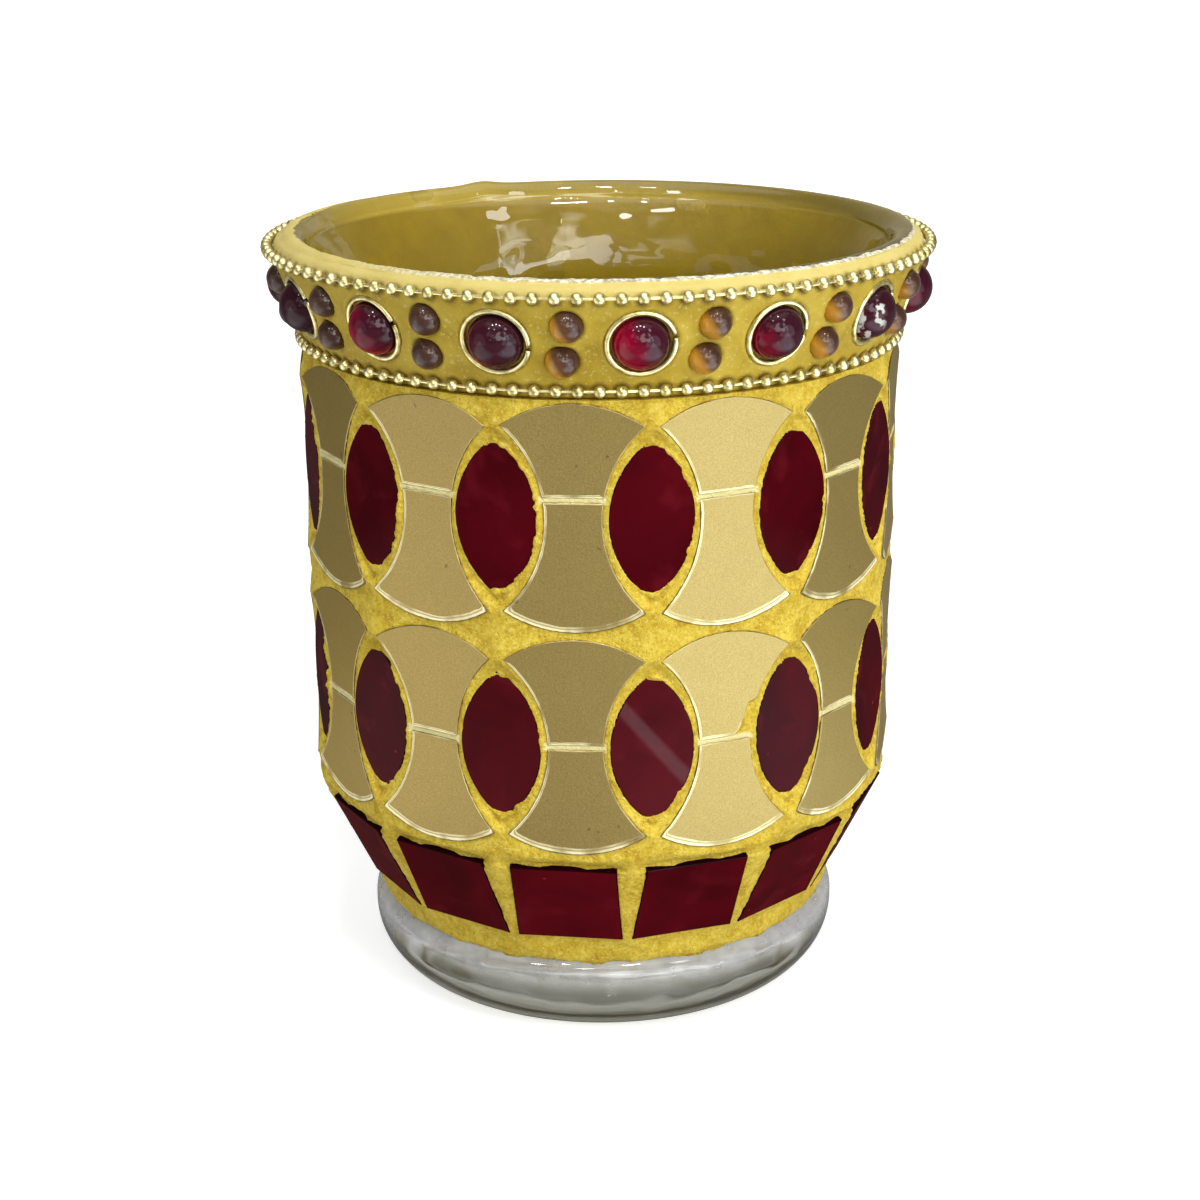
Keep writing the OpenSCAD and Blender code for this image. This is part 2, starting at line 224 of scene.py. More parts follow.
def round_lamp(name, azimuth, elevation, distance, across, radiance,
        in_gloss=True, in_diffuse=True, tint=(1, 1, 1)):
    """A disc lamp aimed at the cup. Its power follows from how bright its face looks."""
    data = bpy.data.lights.new(name, "AREA")
    data.shape = "DISK"
    data.size = across
    data.color = tint
    data.energy = radiance * pi * pi * (across / 2) ** 2
    lamp = put_in_scene(name, data)
    turn, rise = radians(azimuth), radians(elevation)
    middle = Vector((0, 0, 0.06))
    way = Vector((sin(turn) * cos(rise), -cos(turn) * cos(rise), sin(rise)))
    lamp.location = middle + way * distance
    lamp.rotation_euler = (-way).to_track_quat("-Z", "Y").to_euler()
    lamp.visible_diffuse = in_diffuse
    lamp.visible_glossy = in_gloss


round_lamp("ceiling_left", -30, 63, 1.1, 0.09, 80)
round_lamp("ceiling_middle", -3, 67, 1.1, 0.09, 80)
round_lamp("ceiling_right", 22, 62, 1.1, 0.09, 80)
round_lamp("window", 36, 34, 0.9, 0.55, 5.2, in_gloss=False)
round_lamp("window_left", -20, 44, 0.9, 0.34, 2.4, in_gloss=False)
round_lamp("side_window", 62, 8, 0.9, 0.5, 2.6, in_gloss=False)
round_lamp("desk_lamp", -40, 47, 1.1, 0.11, 18, in_diffuse=False)
round_lamp("desk_lamp_middle", -11.5, 47, 1.1, 0.11, 18, in_diffuse=False)
round_lamp("far_window", 46, 45, 1.1, 0.2, 9, in_diffuse=False)
round_lamp("low_window", 47, -3, 0.36, 0.4, 1.7, in_diffuse=False, tint=(0.88, 1.0, 1.14))
round_lamp("low_window_left", -66, -3, 0.36, 0.36, 0.6, in_diffuse=False)


# Glass vessel: clear pressed glass, thick in its floor and foot, with a flared rim and a rounded
# lip. It came out of a mould, so its wall is a little wavy and a mould seam runs up its back.
def polar(radius, angle, height):
    return Vector((radius * sin(angle), -radius * cos(angle), height))


def even_angles(count):
    return [2 * pi * i / count for i in range(count)]


def arc(middle_r, middle_z, radius, start, end, steps):
    angles = [radians(start + (end - start) * i / steps) for i in range(steps + 1)]
    return [(middle_r + radius * cos(a), middle_z + radius * sin(a)) for a in angles]


def finished_mesh(name, points, faces, smooth=True):
    mesh = bpy.data.meshes.new(name)
    mesh.from_pydata(points, [], faces)
    work = bmesh.new()
    work.from_mesh(mesh)
    bmesh.ops.recalc_face_normals(work, faces=work.faces)
    work.to_mesh(mesh)
    work.free()
    mesh.polygons.foreach_set("use_smooth", [smooth] * len(mesh.polygons))
    return mesh


def shell(name, rings, closed=False):
    """Joins rings of points, each to the next. A ring of one point is a pole."""
    starts = np.cumsum([0] + [len(ring) for ring in rings])
    pairs = [(i, i + 1) for i in range(len(rings) - 1)] + ([(len(rings) - 1, 0)] if closed else [])
    faces = []
    for a, b in pairs:
        for i in range(max(len(rings[a]), len(rings[b]))):
            corners = ((a, i), (a, i + 1), (b, i + 1), (b, i))
            faces.append(tuple(dict.fromkeys(starts[k] + c % len(rings[k]) for k, c in corners)))
    return finished_mesh(name, [p for ring in rings for p in ring], faces)


def add_piece(name, mesh, material, slot, *nodes):
    piece = put_in_scene(name, mesh)
    if material:
        mesh.materials.clear()
        mesh.materials.append(material)
    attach(piece, "root")
    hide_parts(*nodes)
    return piece


def new_material(name):
    material = bpy.data.materials.new(name)
    material.use_nodes = True
    return material, material.node_tree, material.node_tree.nodes["Principled BSDF"]


def noise_texture(tree, scale, detail=2.0, roughness=0.5, distortion=0.0):
    return signal(tree, "ShaderNodeTexNoise", "Fac", Vector=object_place(tree), Scale=scale,
        Detail=detail, Roughness=roughness, Distortion=distortion)


def bump(height, strength, distance, **under):
    """The normal that a height bends, on top of another bump's Normal if one is given."""
    return signal(tree_of(height), "ShaderNodeBump", Height=height, Strength=strength,
        Distance=distance, **under)


_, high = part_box("glass_cup")
cup_h = high.z / mm
lip_round = 2.0
lip_r = high.x / mm - lip_round
lip_z = cup_h - lip_round
wall_r, wall_t, floor_t = 35.75, 3.0, 9.0
flare_h, taper_z, taper = 12.0, 28.9, radians(25.8)
foot_r, foot_round, foot_side = 31.5, 7.5, 0.9
shoulder_round, floor_round = 3.1, 4.0
kick_r, kick_depth = 18.0, 1.2
flare_z = lip_z - flare_h
shoulder_z = foot_round + foot_side
neck_z = shoulder_z + shoulder_round


def cone_r(z):
    return wall_r - (taper_z - z) * tan(taper)


def flare(radius, end, steps=16):
    shares = [i / steps for i in range(steps + 1)]
    return [(radius + (end[0] - radius) * (1 - cos(pi / 2 * u)),
        flare_z + (end[1] - flare_z) * u) for u in shares]


def straight(start, end, steps):
    return [(start[0] + (end[0] - start[0]) * i / steps, start[1] + (end[1] - start[1]) * i / steps)
        for i in range(1, steps)]


def lip_point(angle, gap=0.0):
    turn = radians(angle)
    return (lip_r + (lip_round + gap) * cos(turn), lip_z + (lip_round + gap) * sin(turn))


lip_out, lip_in = -35, 145
neck, bend_out = (cone_r(neck_z), neck_z), (wall_r, taper_z)
outside = arc(foot_r - foot_round, foot_round, foot_round, -90, 0, 18)
outside += arc(foot_r - shoulder_round, shoulder_z, shoulder_round, 0, 90, 14)
outside += [neck] + straight(neck, bend_out, 8)
outside += [bend_out] + straight(bend_out, (wall_r, flare_z), 18)
outside += flare(wall_r, lip_point(lip_out)) + arc(lip_r, lip_z, lip_round, lip_out, lip_in, 22)[1:]
inner_r = wall_r - wall_t
inner_drop = wall_t / cos(taper)
round_z = floor_t + floor_round
round_r = cone_r(round_z) - inner_drop - floor_round / cos(taper)
bend = (inner_r, taper_z + (inner_drop - wall_t) / tan(taper))
low_arc = arc(round_r, round_z, floor_round, -90, -degrees(taper), 10)[::-1]
inside = flare(inner_r, lip_point(lip_in), 44)[::-1][1:] + straight((inner_r, flare_z), bend, 18) + [bend]
inside += straight(bend, low_arc[0], 8) + low_arc
inside += [(round_r * share, floor_t) for share in (0.8, 0.6, 0.4, 0.2)]
kick = [(kick_r * share, kick_depth) for share in (0.2, 0.4, 0.6, 0.8, 0.9)]
kick += [(kick_r - 0.5, kick_depth / 2), (kick_r, 0.0)]
glass_turns = 288
seam_angle, seam_low_z, seam_out_r = radians(-155), 30, lip_r - 4
seam_w, seam_h = 0.9, 0.12
lump_w, lump_h = 2.8, 0.45
wave_h, wave_w = 0.34, 11.0
fine_wave_h, fine_wave_w = 0.1, 4.5
outside_wavy, calm_over_floor, calm_over_neck = 0.25, 3, 2
crease_z, crease_w, crease_h = cup_h - 1.9, 0.45, 0.3


def vessel_point(r, z, angle, wavy):
    across = remainder(angle - seam_angle, 2 * pi) * r
    shift = wave_h * wavy * noise.noise(polar(r, angle, z) / wave_w)
    shift += fine_wave_h * wavy * noise.noise(polar(r, angle, 2 * z) / fine_wave_w)
    if wavy == 1 and r < lip_r:
        shift += crease_h * exp(-((z - crease_z) / crease_w) ** 2)
    if seam_low_z < z < lip_z and r < seam_out_r:
        shift += seam_h * exp(-(across / seam_w) ** 2)
    lump = lump_h * exp(-(across / lump_w) ** 2) if z > lip_z else 0
    return polar(r + shift, angle, z + lump) * mm


glass_rings = [[Vector((0, 0, kick_depth)) * mm]]
for k, (r, z) in enumerate(kick + outside + inside):
    within = k >= len(kick) + len(outside)
    wavy = 1.0 if within and z > floor_t + calm_over_floor else outside_wavy
    if z < neck_z + calm_over_neck or z > lip_z:
        wavy = 0
    glass_rings.append([vessel_point(r, z, angle, wavy) for angle in even_angles(glass_turns)])
glass_rings.append([Vector((0, 0, floor_t)) * mm])

clear_glass, tree, shader = new_material("clear_pressed_glass")
x, y, height = split(object_place(tree))
out = calculate("SQRT", x * x + y * y)
# The glass keeps its own greenish tint above the foot. Down the foot its colour is painted: clear at the
# shoulder as painted light, then much darker towards the bottom as painted shade.
tint = mix(grows(height, 0.013, 0.011), (0.76, 0.75, 0.64), (1.0, 1.0, 0.98))
tint = mix(grows(height, 0.0095, 0.006), tint, (0.22, 0.22, 0.17))
tint = mix(grows(height, 0.0055, 0.002), tint, (0.07, 0.07, 0.042))
shoulder = grows(height, 0.0068, 0.0085) * grows(out, 0.0265, 0.028) * grows(height, 0.013, 0.012)
film = shoulder * (noise_texture(tree, 320, 3) * 0.36 + 0.12)
fill(shader, Base_Color=tint, Roughness=grows(height, 0.0014, 0.0008) * 0.26, IOR=1.5,
    Transmission_Weight=1.0 - film, Normal=bump(noise_texture(tree, 160, 1), 0.12, 0.0015))
see_through = signal(tree, "ShaderNodeBsdfTransparent", Color=(0.8, 0.79, 0.7))
lets_light_by = signal(tree, "ShaderNodeMixShader", 0, ray(tree, "Is Shadow Ray"), shader.outputs[0],
    see_through)
fill(tree.nodes["Material Output"], Surface=lets_light_by)
add_piece("glass_vessel", shell("glass_vessel", glass_rings), clear_glass, "clear_glass", "glass_cup")


# Gold tiles: axe-head halves cut from clear flat glass with satin gold paint on its back, glued
# on in pairs. The paint stops short of the cut edges, and there the clear glass edge is painted
# as pale cream highlight lines, widest on edges that face down or left, with a painted shadow
# line along the very edge.
def open_tree(name, **sockets):
    """A Geometry Nodes tree, its inputs by name, and the number of each point in it."""
    tree = bpy.data.node_groups.new(name, "GeometryNodeTree")
    for label, kind in sockets.items():
        tree.interface.new_socket(label, in_out="INPUT", socket_type="NodeSocket" + kind)
    tree.interface.new_socket("Geometry", in_out="OUTPUT", socket_type="NodeSocketGeometry")
    given = {socket.name: Signal(socket) for socket in tree.nodes.new("NodeGroupInput").outputs}
    return tree, given, signal(tree, "GeometryNodeInputIndex")


def close_tree(tree, given, copies):
    """Makes the copies real and gives them their material."""
    real = signal(tree, "GeometryNodeRealizeInstances", Geometry=copies)
    finish = signal(tree, "GeometryNodeSetMaterial", Geometry=real, Material=given["Material"])
    fill(tree.nodes.new("NodeGroupOutput"), Geometry=finish)
    return tree


def on_ring(angle, radius, height):
    """A place on a ring, as nodes."""
    return signal(tree_of(angle), "ShaderNodeCombineXYZ", 0, calculate("SINE", angle) * radius,
        calculate("COSINE", angle) * radius * -1.0, height)


def rotation(tree, *angles):
    return signal(tree, "FunctionNodeEulerToRotation", 0, signal(tree, "ShaderNodeCombineXYZ", 0, *angles))


stray_step, stray_start = 137.5, 40.0


def ring_placer():
    """Geometry Nodes that set copies of a piece round the cup, each a little off its place."""
    tree, given, index = open_tree(
        "set_round_the_cup", piece="Object", count="Int", radius="Float", height="Float",
        first_angle="Float", tilt="Float", lift="Float", lift_start="Float", turn="Float",
        turn_spread="Float", turn_start="Float", turn_step="Float", left_out="Int", Material="Material")

    def stray(start, step):
        return calculate("SINE", calculate("RADIANS", (index * step + start) * stray_step + stray_start))

    angle = index * (2 * pi / given["count"]) + given["first_angle"]
    lift = stray(given["lift_start"], 1.0) * given["lift"]
    points = signal(tree, "GeometryNodePoints", Count=given["count"],
        Position=on_ring(angle, given["radius"], given["height"] + lift))
    tone = signal(tree, "FunctionNodeRandomValue", "Value", Seed=7)
    for name, value in (("tone", tone), ("number", index)):
        points = signal(tree, "GeometryNodeStoreNamedAttribute", Geometry=points, Name=name, Value=value)
    turn = stray(given["turn_start"], given["turn_step"]) * given["turn_spread"] + given["turn"]
    upright = rotation(tree, given["tilt"] + pi / 2, 0.0, angle)
    facing = signal(tree, "FunctionNodeRotateRotation", rotation_space="LOCAL", Rotation=upright,
        Rotate_By=rotation(tree, 0.0, 0.0, turn))
    wanted = fill(tree.nodes.new("FunctionNodeCompare"), data_type="INT", operation="NOT_EQUAL")
    for value, socket in zip((index, given["left_out"]), [s for s in wanted.inputs if s.type == "INT"]):
        connect(value, socket)
    source = signal(tree, "GeometryNodeObjectInfo", "Geometry", Object=given["piece"])
    copies = signal(tree, "GeometryNodeInstanceOnPoints", Points=points, Selection=wanted.outputs[0],
        Instance=source, Rotation=facing)
    return close_tree(tree, given, copies)


def from_nodes(name, tree, **values):
    """The plain mesh that a Geometry Nodes tree makes from the named values."""
    holder = put_in_scene(name + "_maker", bpy.data.meshes.new(name + "_maker"))
    modifier = holder.modifiers.new("maker", "NODES")
    modifier.node_group = tree
    for item in tree.interface.items_tree:
        if item.in_out == "INPUT" and item.name in values:
            modifier[item.identifier] = values[item.name]
    bpy.context.view_layer.update()
    ready = holder.evaluated_get(bpy.context.evaluated_depsgraph_get())
    mesh = bpy.data.meshes.new_from_object(ready)
    mesh.name = name
    holder.modifiers.remove(modifier)
    bpy.data.objects.remove(holder)
    return mesh


def set_pieces(name, shape, material, slot, nodes, left_out=-1, **values):
    """Copies of one shape round the cup, as one piece. The shape's own object is taken away again."""
    pattern = put_in_scene(shape.name, shape)
    mesh = from_nodes(name, set_round, piece=pattern, Material=material, left_out=left_out, **values)
    bpy.data.objects.remove(pattern)
    return add_piece(name, mesh, None, slot, *nodes)


def keep_values(mesh, label, values):
    mesh.attributes.new(label, "FLOAT", "POINT").data.foreach_set("value", values)


near_edge = [0.0, 0.07, 0.16, 0.26, 0.36, 0.48, 0.62, 0.85]


def cut_tile(name, heights, sides, inside, bare=None, bevel=0.08, full_half=1.7):
    """A flat tile as a grid of rows with side walls and a back. It keeps how far inside the edge
    each point lies."""
    grid = []
    for y in heights:
        left, right = sides(y)
        middle, half = (left + right) / 2, (right - left) / 2
        steps = [half - d * min(1.0, half / full_half) for d in near_edge]
        steps += [steps[-1] * (1 - k / 5) for k in range(1, 5)]
        grid.append([middle - s for s in steps] + [middle] + [middle + s for s in steps[::-1]])
    n, rows = len(grid[0]), len(grid)
    x = np.array(grid).ravel()
    y = np.repeat(np.array(heights), n)
    inset = np.maximum(inside(x, y), 0)
    top = np.minimum(tile_t, tile_t - bevel + inset)
    points = [Vector(p) * mm for p in zip(x, y, top)]
    faces = [(i * n + j, i * n + j + 1, (i + 1) * n + j + 1, (i + 1) * n + j)
        for i in range(rows - 1) for j in range(n - 1)]
    loop = list(range(n)) + [i * n + n - 1 for i in range(1, rows)]
    loop += [(rows - 1) * n + j for j in range(n - 2, -1, -1)] + [i * n for i in range(rows - 2, 0, -1)]
    first, m = len(points), len(loop)
    points += [Vector((x[v], y[v], 0)) * mm for v in loop]
    faces += [(loop[k], first + k, first + (k + 1) % m, loop[(k + 1) % m]) for k in range(m)]
    faces.append(tuple(first + k for k in range(m))[::-1])
    mesh = finished_mesh(name, points, faces, smooth=False)
    strength = bare(x, y) if bare else np.zeros(len(x))
    for label, values in (("inset", inset), ("bare", strength)):
        keep_values(mesh, label, np.concatenate([values, np.zeros(m)]))
    return mesh


columns, column_turn = 13, radians(-4.85)
column_step = 2 * pi / columns
tile_t, bed_t = 2.0, 0.3
tile_back = wall_r + bed_t
tile_face = tile_back + tile_t
waist_w, crown_h = 6.8, 2.6
corner_joint, seam_joint, row_joint, hem_joint = 0.93, 0.6, 0.9, 0.45
clay_low_z = 85.9
hand_lift, hand_turn = 0.15, radians(0.5)
head_z = clay_low_z - hem_joint
tail_z = taper_z + row_joint / 2
row_h = (head_z - tail_z - row_joint) / 2
seam_shares = (0.506, 0.585)
seam_z = (tail_z + seam_shares[0] * row_h, tail_z + row_h + row_joint + seam_shares[1] * row_h)
half_w = tile_face * tan(column_step / 2) - corner_joint
crown_r = (half_w ** 2 + crown_h ** 2) / (2 * crown_h)
corner_h = row_h / 2 - crown_h
side_sink = half_w - waist_w / 2
side_r = (corner_h ** 2 + side_sink ** 2) / (2 * side_sink)
chip_w, chip_h = 2.2, 4.3
chip_ring, chip_column = 1, 1


def half_sizes(row, upper):
    """Reach of a half from the seam, and how far its waist's arc is from the seam."""
    reach = (1 - seam_shares[row]) * row_h if upper else seam_shares[row] * row_h
    middle = (1 - 2 * seam_shares[row]) * row_h / 2
    return reach, middle if upper else -middle


crack_up = (0.0, 0.22, 0.38, 0.55, 0.68, 0.84, 1.0)
crack_out = (0.0, 0.1, 0.17, 0.44, 0.62, 0.92, 1.0)


def crack_x(y):
    """Where the broken corner's edge is at each height over the seam."""
    return waist_w / 2 - chip_w * (1 - np.interp((y - seam_joint / 2) / chip_h, crack_out, crack_up))


def gold_gaps(x, y, row, upper):
    """Distances outside the crown, the seam and the two waist arcs of a half, with y away from the seam."""
    reach, middle = half_sizes(row, upper)
    crown = np.hypot(x, y - (reach - crown_r)) - crown_r
    left = side_r - np.hypot(x + waist_w / 2 + side_r, y - middle)
    right = side_r - np.hypot(x - waist_w / 2 - side_r, y - middle)
    return crown, seam_joint / 2 - y, left, right


def gold_gap(x, y, row, upper, broken):
    """Distance outside one gold half, negative inside."""
    gap = np.maximum.reduce(gold_gaps(x, y, row, upper))
    crack_gap = (x - crack_x(y)) * (y < chip_h + seam_joint / 2) - 9 * (y > chip_h)
    return np.where(broken, np.maximum(gap, crack_gap), gap)


def gold_half(name, row, upper, broken=False):
    """One half, its seam along y = 0. The halves under a seam are made upside down."""
    reach, middle = half_sizes(row, upper)
    corner_y = middle + corner_h
    start = seam_joint / 2
    spread = asin(half_w / crown_r)
    low = [start + d for d in near_edge]
    heights = low + [low[-1] + (corner_y - low[-1]) * k / 22 for k in range(1, 23)]
    heights += [reach - crown_r * (1 - cos(spread * (1 - k / 16))) for k in range(1, 16)]
    heights.append(reach - 0.002)

    def sides(y):
        if y > corner_y + 0.001:
            half = sqrt(max(crown_r ** 2 - (y - reach + crown_r) ** 2, 0))
        else:
            half = waist_w / 2 + side_r - sqrt(side_r ** 2 - (y - middle) ** 2)
        return -half, min(half, float(crack_x(y))) if broken and y < start + chip_h else half

    def bare(x, y):
        """How much of the edge's paint is missing, which sets how strong the painted highlight lines are
        there. Edges that look down or left show most.
        """
        strengths = (0.06, 0.5, 0.45, 0.14) if upper else (1.0, 0.2, 0.45, 0.14)
        return np.array(strengths)[np.argmax(gold_gaps(x, y, row, upper), axis=0)]

    mesh = cut_tile(name, heights, sides, lambda x, y: -gold_gap(x, y, row, upper, broken), bare)
    if not upper:
        mesh.transform(Matrix.Scale(-1, 4, (0, 1, 0)))
        mesh.flip_normals()
    return mesh


def attribute(tree, name):
    return signal(tree, "ShaderNodeAttribute", "Fac", attribute_name=name)


def ramp(value, *stops):
    """A colour ramp. A stop's colour may be one number, for a grey."""
    node = fill(tree_of(value).nodes.new("ShaderNodeValToRGB"), Fac=value)
    elements = node.color_ramp.elements
    while len(elements) < len(stops):
        elements.new(0.5)
    for element, (place, colour) in zip(elements, stops):
        element.position = place
        element.color = (*colour, 1) if isinstance(colour, tuple) else (colour, colour, colour, 1)
    return Signal(node.outputs["Color"])


def jitter(value, scale, size):
    """The value, moved up and down by fine noise."""
    return value + (noise_texture(tree_of(value), scale, 2) - 0.5) * size


gold_glass, tree, shader = new_material("gold_painted_glass")
gold = ramp(noise_texture(tree, 5200, 2, 0.7), (0.28, (0.27, 0.195, 0.06)),
    (0.5, (0.34, 0.25, 0.082)), (0.72, (0.42, 0.315, 0.11)))
gold = mix(noise_texture(tree, 220, 3, 0.6) * 0.5, gold, (0.28, 0.2, 0.06))
gold = mix(attribute(tree, "tone") * 0.12, gold, (0.18, 0.12, 0.035))
specks = ramp(noise_texture(tree, 900, 0), (0.14, 1), (0.17, 0))
gold = mix(specks * 0.5, gold, (0.08, 0.05, 0.02))
# Where paint is missing at an edge, pale cream painted highlight lines, with a darker line between them,
# stand for light caught in the clear glass edge; noise makes them patchy.
bare_glint_strength = attribute(tree, "bare")
width = calculate("MAXIMUM", bare_glint_strength * 1.75, 0.25) * (noise_texture(tree, 170, 1) * 0.85 + 0.55)
inset = jitter(attribute(tree, "inset"), 1500, 0.15) / width
patchy_bare_glint = ramp(noise_texture(tree, 240, 2), (0.38, 0.15), (0.54, 1))
edge_glint_lines = ramp(inset, (0.05, (0.2, 0.15, 0.05)), (0.09, (0.94, 0.86, 0.54)), (0.22, (0.9, 0.81, 0.48)),
    (0.27, (0.44, 0.35, 0.15)), (0.32, (0.44, 0.35, 0.15)), (0.36, (0.8, 0.71, 0.42)),
    (0.44, (0.72, 0.63, 0.34)))
bare = ramp(inset, (0.44, 1), (0.48, 0)) * (calculate("MINIMUM", bare_glint_strength * 2.5, 1.0) * patchy_bare_glint)
# A thin painted shadow line along the very edge of every tile.
gold = mix(ramp(inset, (0.03, 1), (0.09, 0)), gold, (0.14, 0.1, 0.03))
fill(shader, Base_Color=mix(bare, gold, edge_glint_lines), Metallic=0.85 - bare * 0.6, Roughness=0.46,
    Specular_Tint=(0.72, 0.6, 0.34), Coat_Weight=0.1, Coat_Roughness=0.04,
    Normal=bump(noise_texture(tree, 3000, 2), 0.08, 0.0004))

set_round = ring_placer()
for ring in range(4):
    row, upper = ring // 2, ring % 2 == 1
    set_pieces(f"gold_halves_{ring + 1}", gold_half(f"gold_half_{ring + 1}", row, upper), gold_glass,
        "gold_glass", [f"gold_tiles_{ring + 1}"], left_out=chip_column if ring == chip_ring else -1,
        count=columns, radius=tile_back * mm, height=seam_z[row] * mm, first_angle=column_turn,
        lift=hand_lift * mm, lift_start=float(row * columns), turn_spread=hand_turn,
        turn_start=float(row), turn_step=2.0)


def stray(count):
    return np.sin(np.radians(count * stray_step + stray_start))


broken = gold_half("broken_gold_half", 0, True, broken=True)
broken_angle = column_turn + chip_column * column_step
turned = Matrix.Rotation(hand_turn * stray(2 * chip_column), 4, "Z")
upright = Matrix.Rotation(broken_angle, 4, "Z") @ Matrix.Rotation(pi / 2, 4, "X")
place = polar(tile_back, broken_angle, seam_z[0] + hand_lift * stray(chip_column)) * mm
broken.transform(Matrix.Translation(place) @ upright @ turned)
add_piece("broken_gold_half", broken, gold_glass, "gold_glass", "gold_tiles_2")


# Ruby lenses: pointed ovals of deep red sheet glass between the waists of the gold tiles. They
# have ground edges, and the grout hides their tips.
lens_joint, lens_short = 0.75, 3.1
lens_half_w = tile_face * tan(column_step / 2 - atan(waist_w / 2 / tile_face)) - lens_joint
lens_half_h = corner_h - lens_short / 2
lens_r = (lens_half_h ** 2 + lens_half_w ** 2) / (2 * lens_half_w)
lens_reach = lens_r - lens_half_w
lens_spread = asin(lens_half_h / lens_r)
lens_y = [lens_r * sin(lens_spread * 0.99 * (i / 22 - 1)) for i in range(45)]
lens_z = [seam_z[row] + (1 - 2 * seam_shares[row]) * row_h / 2 for row in (0, 1)]
lens_turn = column_turn + column_step / 2


def lens_arcs(x, y):
    """Distances outside the two arcs of a lens, negative inside."""
    return np.hypot(x + lens_reach, y) - lens_r, np.hypot(x - lens_reach, y) - lens_r


def lens_sides(y):
    half = sqrt(lens_r ** 2 - y ** 2) - lens_reach
    return -half, half


ruby_glass, tree, shader = new_material("ruby_sheet_glass")
streaks = noise_texture(tree, 90, 3, 0.5, 0.6)
_, _, height = split(object_place(tree))
ruby = ramp(streaks, (0.35, (0.034, 0.0, 0.002)), (0.65, (0.06, 0.0002, 0.003)))
brighter = ramp(streaks, (0.35, (0.055, 0.0, 0.002)), (0.65, (0.098, 0.0004, 0.005)))
ruby = mix(grows(height, (taper_z + 1) * mm, (taper_z - 1) * mm), ruby, brighter)
brightest = mix(streaks, (0.09, 0.0, 0.004), (0.19, 0.006, 0.012))
ruby = mix(calculate("POWER", attribute(tree, "tone"), 4.0) * 0.9, ruby, brightest)
# Soft patches of paler red across the sheet, a painted reflection haze.
reflection_haze = ramp(noise_texture(tree, 150, 2, 0.5, 0.8), (0.56, 0), (0.72, 0.5))
ruby = mix(reflection_haze, ruby, (0.13, 0.006, 0.012))
# Small pink specks, painted glints.
pink_glint_specks = ramp(noise_texture(tree, 760, 0), (0.86, 0), (0.9, 0.6))
ruby = mix(pink_glint_specks, ruby, (0.36, 0.03, 0.04))
edge = ramp(jitter(attribute(tree, "inset"), 1800, 0.2), (0.08, 1), (0.17, 0))
fill(shader, Base_Color=mix(edge, ruby, (0.012, 0.0, 0.002)), Roughness=0.3,
    Specular_IOR_Level=0.0, Coat_Weight=0.1, Coat_Roughness=0.01,
    Normal=bump(noise_texture(tree, 140, 1), 0.1, 0.001))

for row, node in ((0, "ruby_lenses_lower"), (1, "ruby_lenses_upper")):
    lens = cut_tile("ruby_lens", lens_y, lens_sides, lambda x, y: -np.maximum(*lens_arcs(x, y)))
    set_pieces(f"ruby_lens_row_{row + 1}", lens, ruby_glass, "ruby_glass", [node], count=columns,
        radius=tile_back * mm, height=lens_z[row] * mm, first_angle=lens_turn)


# Base tiles: squares of the same ruby glass on the taper over the foot. They are flat, so their
# upper edges stand proud and wedges of grout open between them.
base_count, base_turn = 14, radians(-7.6)
base_step = 2 * pi / base_count
base_top_z = taper_z - 0.9
base_joint = 0.42
base_back_r = cone_r(base_top_z) + bed_t * cos(taper)
base_share = 2 * tan(base_step / 2)
base_w = (base_back_r * base_share - base_joint) / (1 + base_share * sin(taper))
half = base_w / 2
square_y = [-base_w + d for d in near_edge] + [-base_w * (1 - k / 10) for k in range(1, 10)]
square_y += [-d for d in near_edge[::-1]]
square = cut_tile("base_square", square_y, lambda y: (-half, half),
    lambda x, y: np.minimum(half - np.abs(x), half - np.abs(y + half)))
set_pieces("base_squares", square, ruby_glass, "ruby_glass",
    [f"base_tile_{i + 1}" for i in range(base_count)], count=base_count, radius=base_back_r * mm,
    height=(base_top_z - bed_t * sin(taper)) * mm, first_angle=base_turn, tilt=taper)


# Grout: yellow sanded grout rubbed into the joints and wiped off the glass. It lies a little below
# the tile faces, creeps over the ruby tiles in ragged edges, and ends unevenly on the foot.
tile_proud = 0.25
grout_r = tile_face - tile_proud
grout_recess = (bed_t + tile_t - tile_proud) / cos(taper)
skirt_z = base_top_z - base_w * cos(taper)
end_lean = radians(57)
grout_edge = (foot_r - shoulder_round + shoulder_round * cos(end_lean),
    shoulder_z + shoulder_round * sin(end_lean))
grout_line = [(grout_r, clay_low_z), (grout_r, taper_z + (grout_r - wall_r - grout_recess) / tan(taper)),
    (cone_r(skirt_z) + grout_recess, skirt_z), grout_edge]
cell, grout_turns = 0.28, 840
over_tiles, hem_h, grout_end_z, end_h = 1.3, 2.0, 13.5, 2.5
rows_meet_z, noise_ring_r = 58.2, 60


def wrap_line(line, step, turns):
    """A grid round the cup over a line of (r, z) corners, in even steps and a little smoothed.
    Gives its heights, its angles, and the angle, r, z and normal of each point of the grid."""
    corners = np.array(line, float)
    along = np.concatenate([[0], np.cumsum(np.hypot(*np.diff(corners, axis=0).T))])
    s = np.linspace(0, along[-1], int(along[-1] / step) + 1)
    r, z = np.interp(s, along, corners[:, 0]), np.interp(s, along, corners[:, 1])
    soft = np.ones(9) / 9
    r[4:-4], z[4:-4] = np.convolve(r, soft, "valid"), np.convolve(z, soft, "valid")
    dr, dz = np.gradient(r), np.gradient(z)
    size = np.hypot(dr, dz)
    angles = np.linspace(0, 2 * pi, turns, endpoint=False)
    return z, angles, np.tile(angles, len(z)), *(np.repeat(v, turns) for v in (r, z, -dz / size, dr / size))


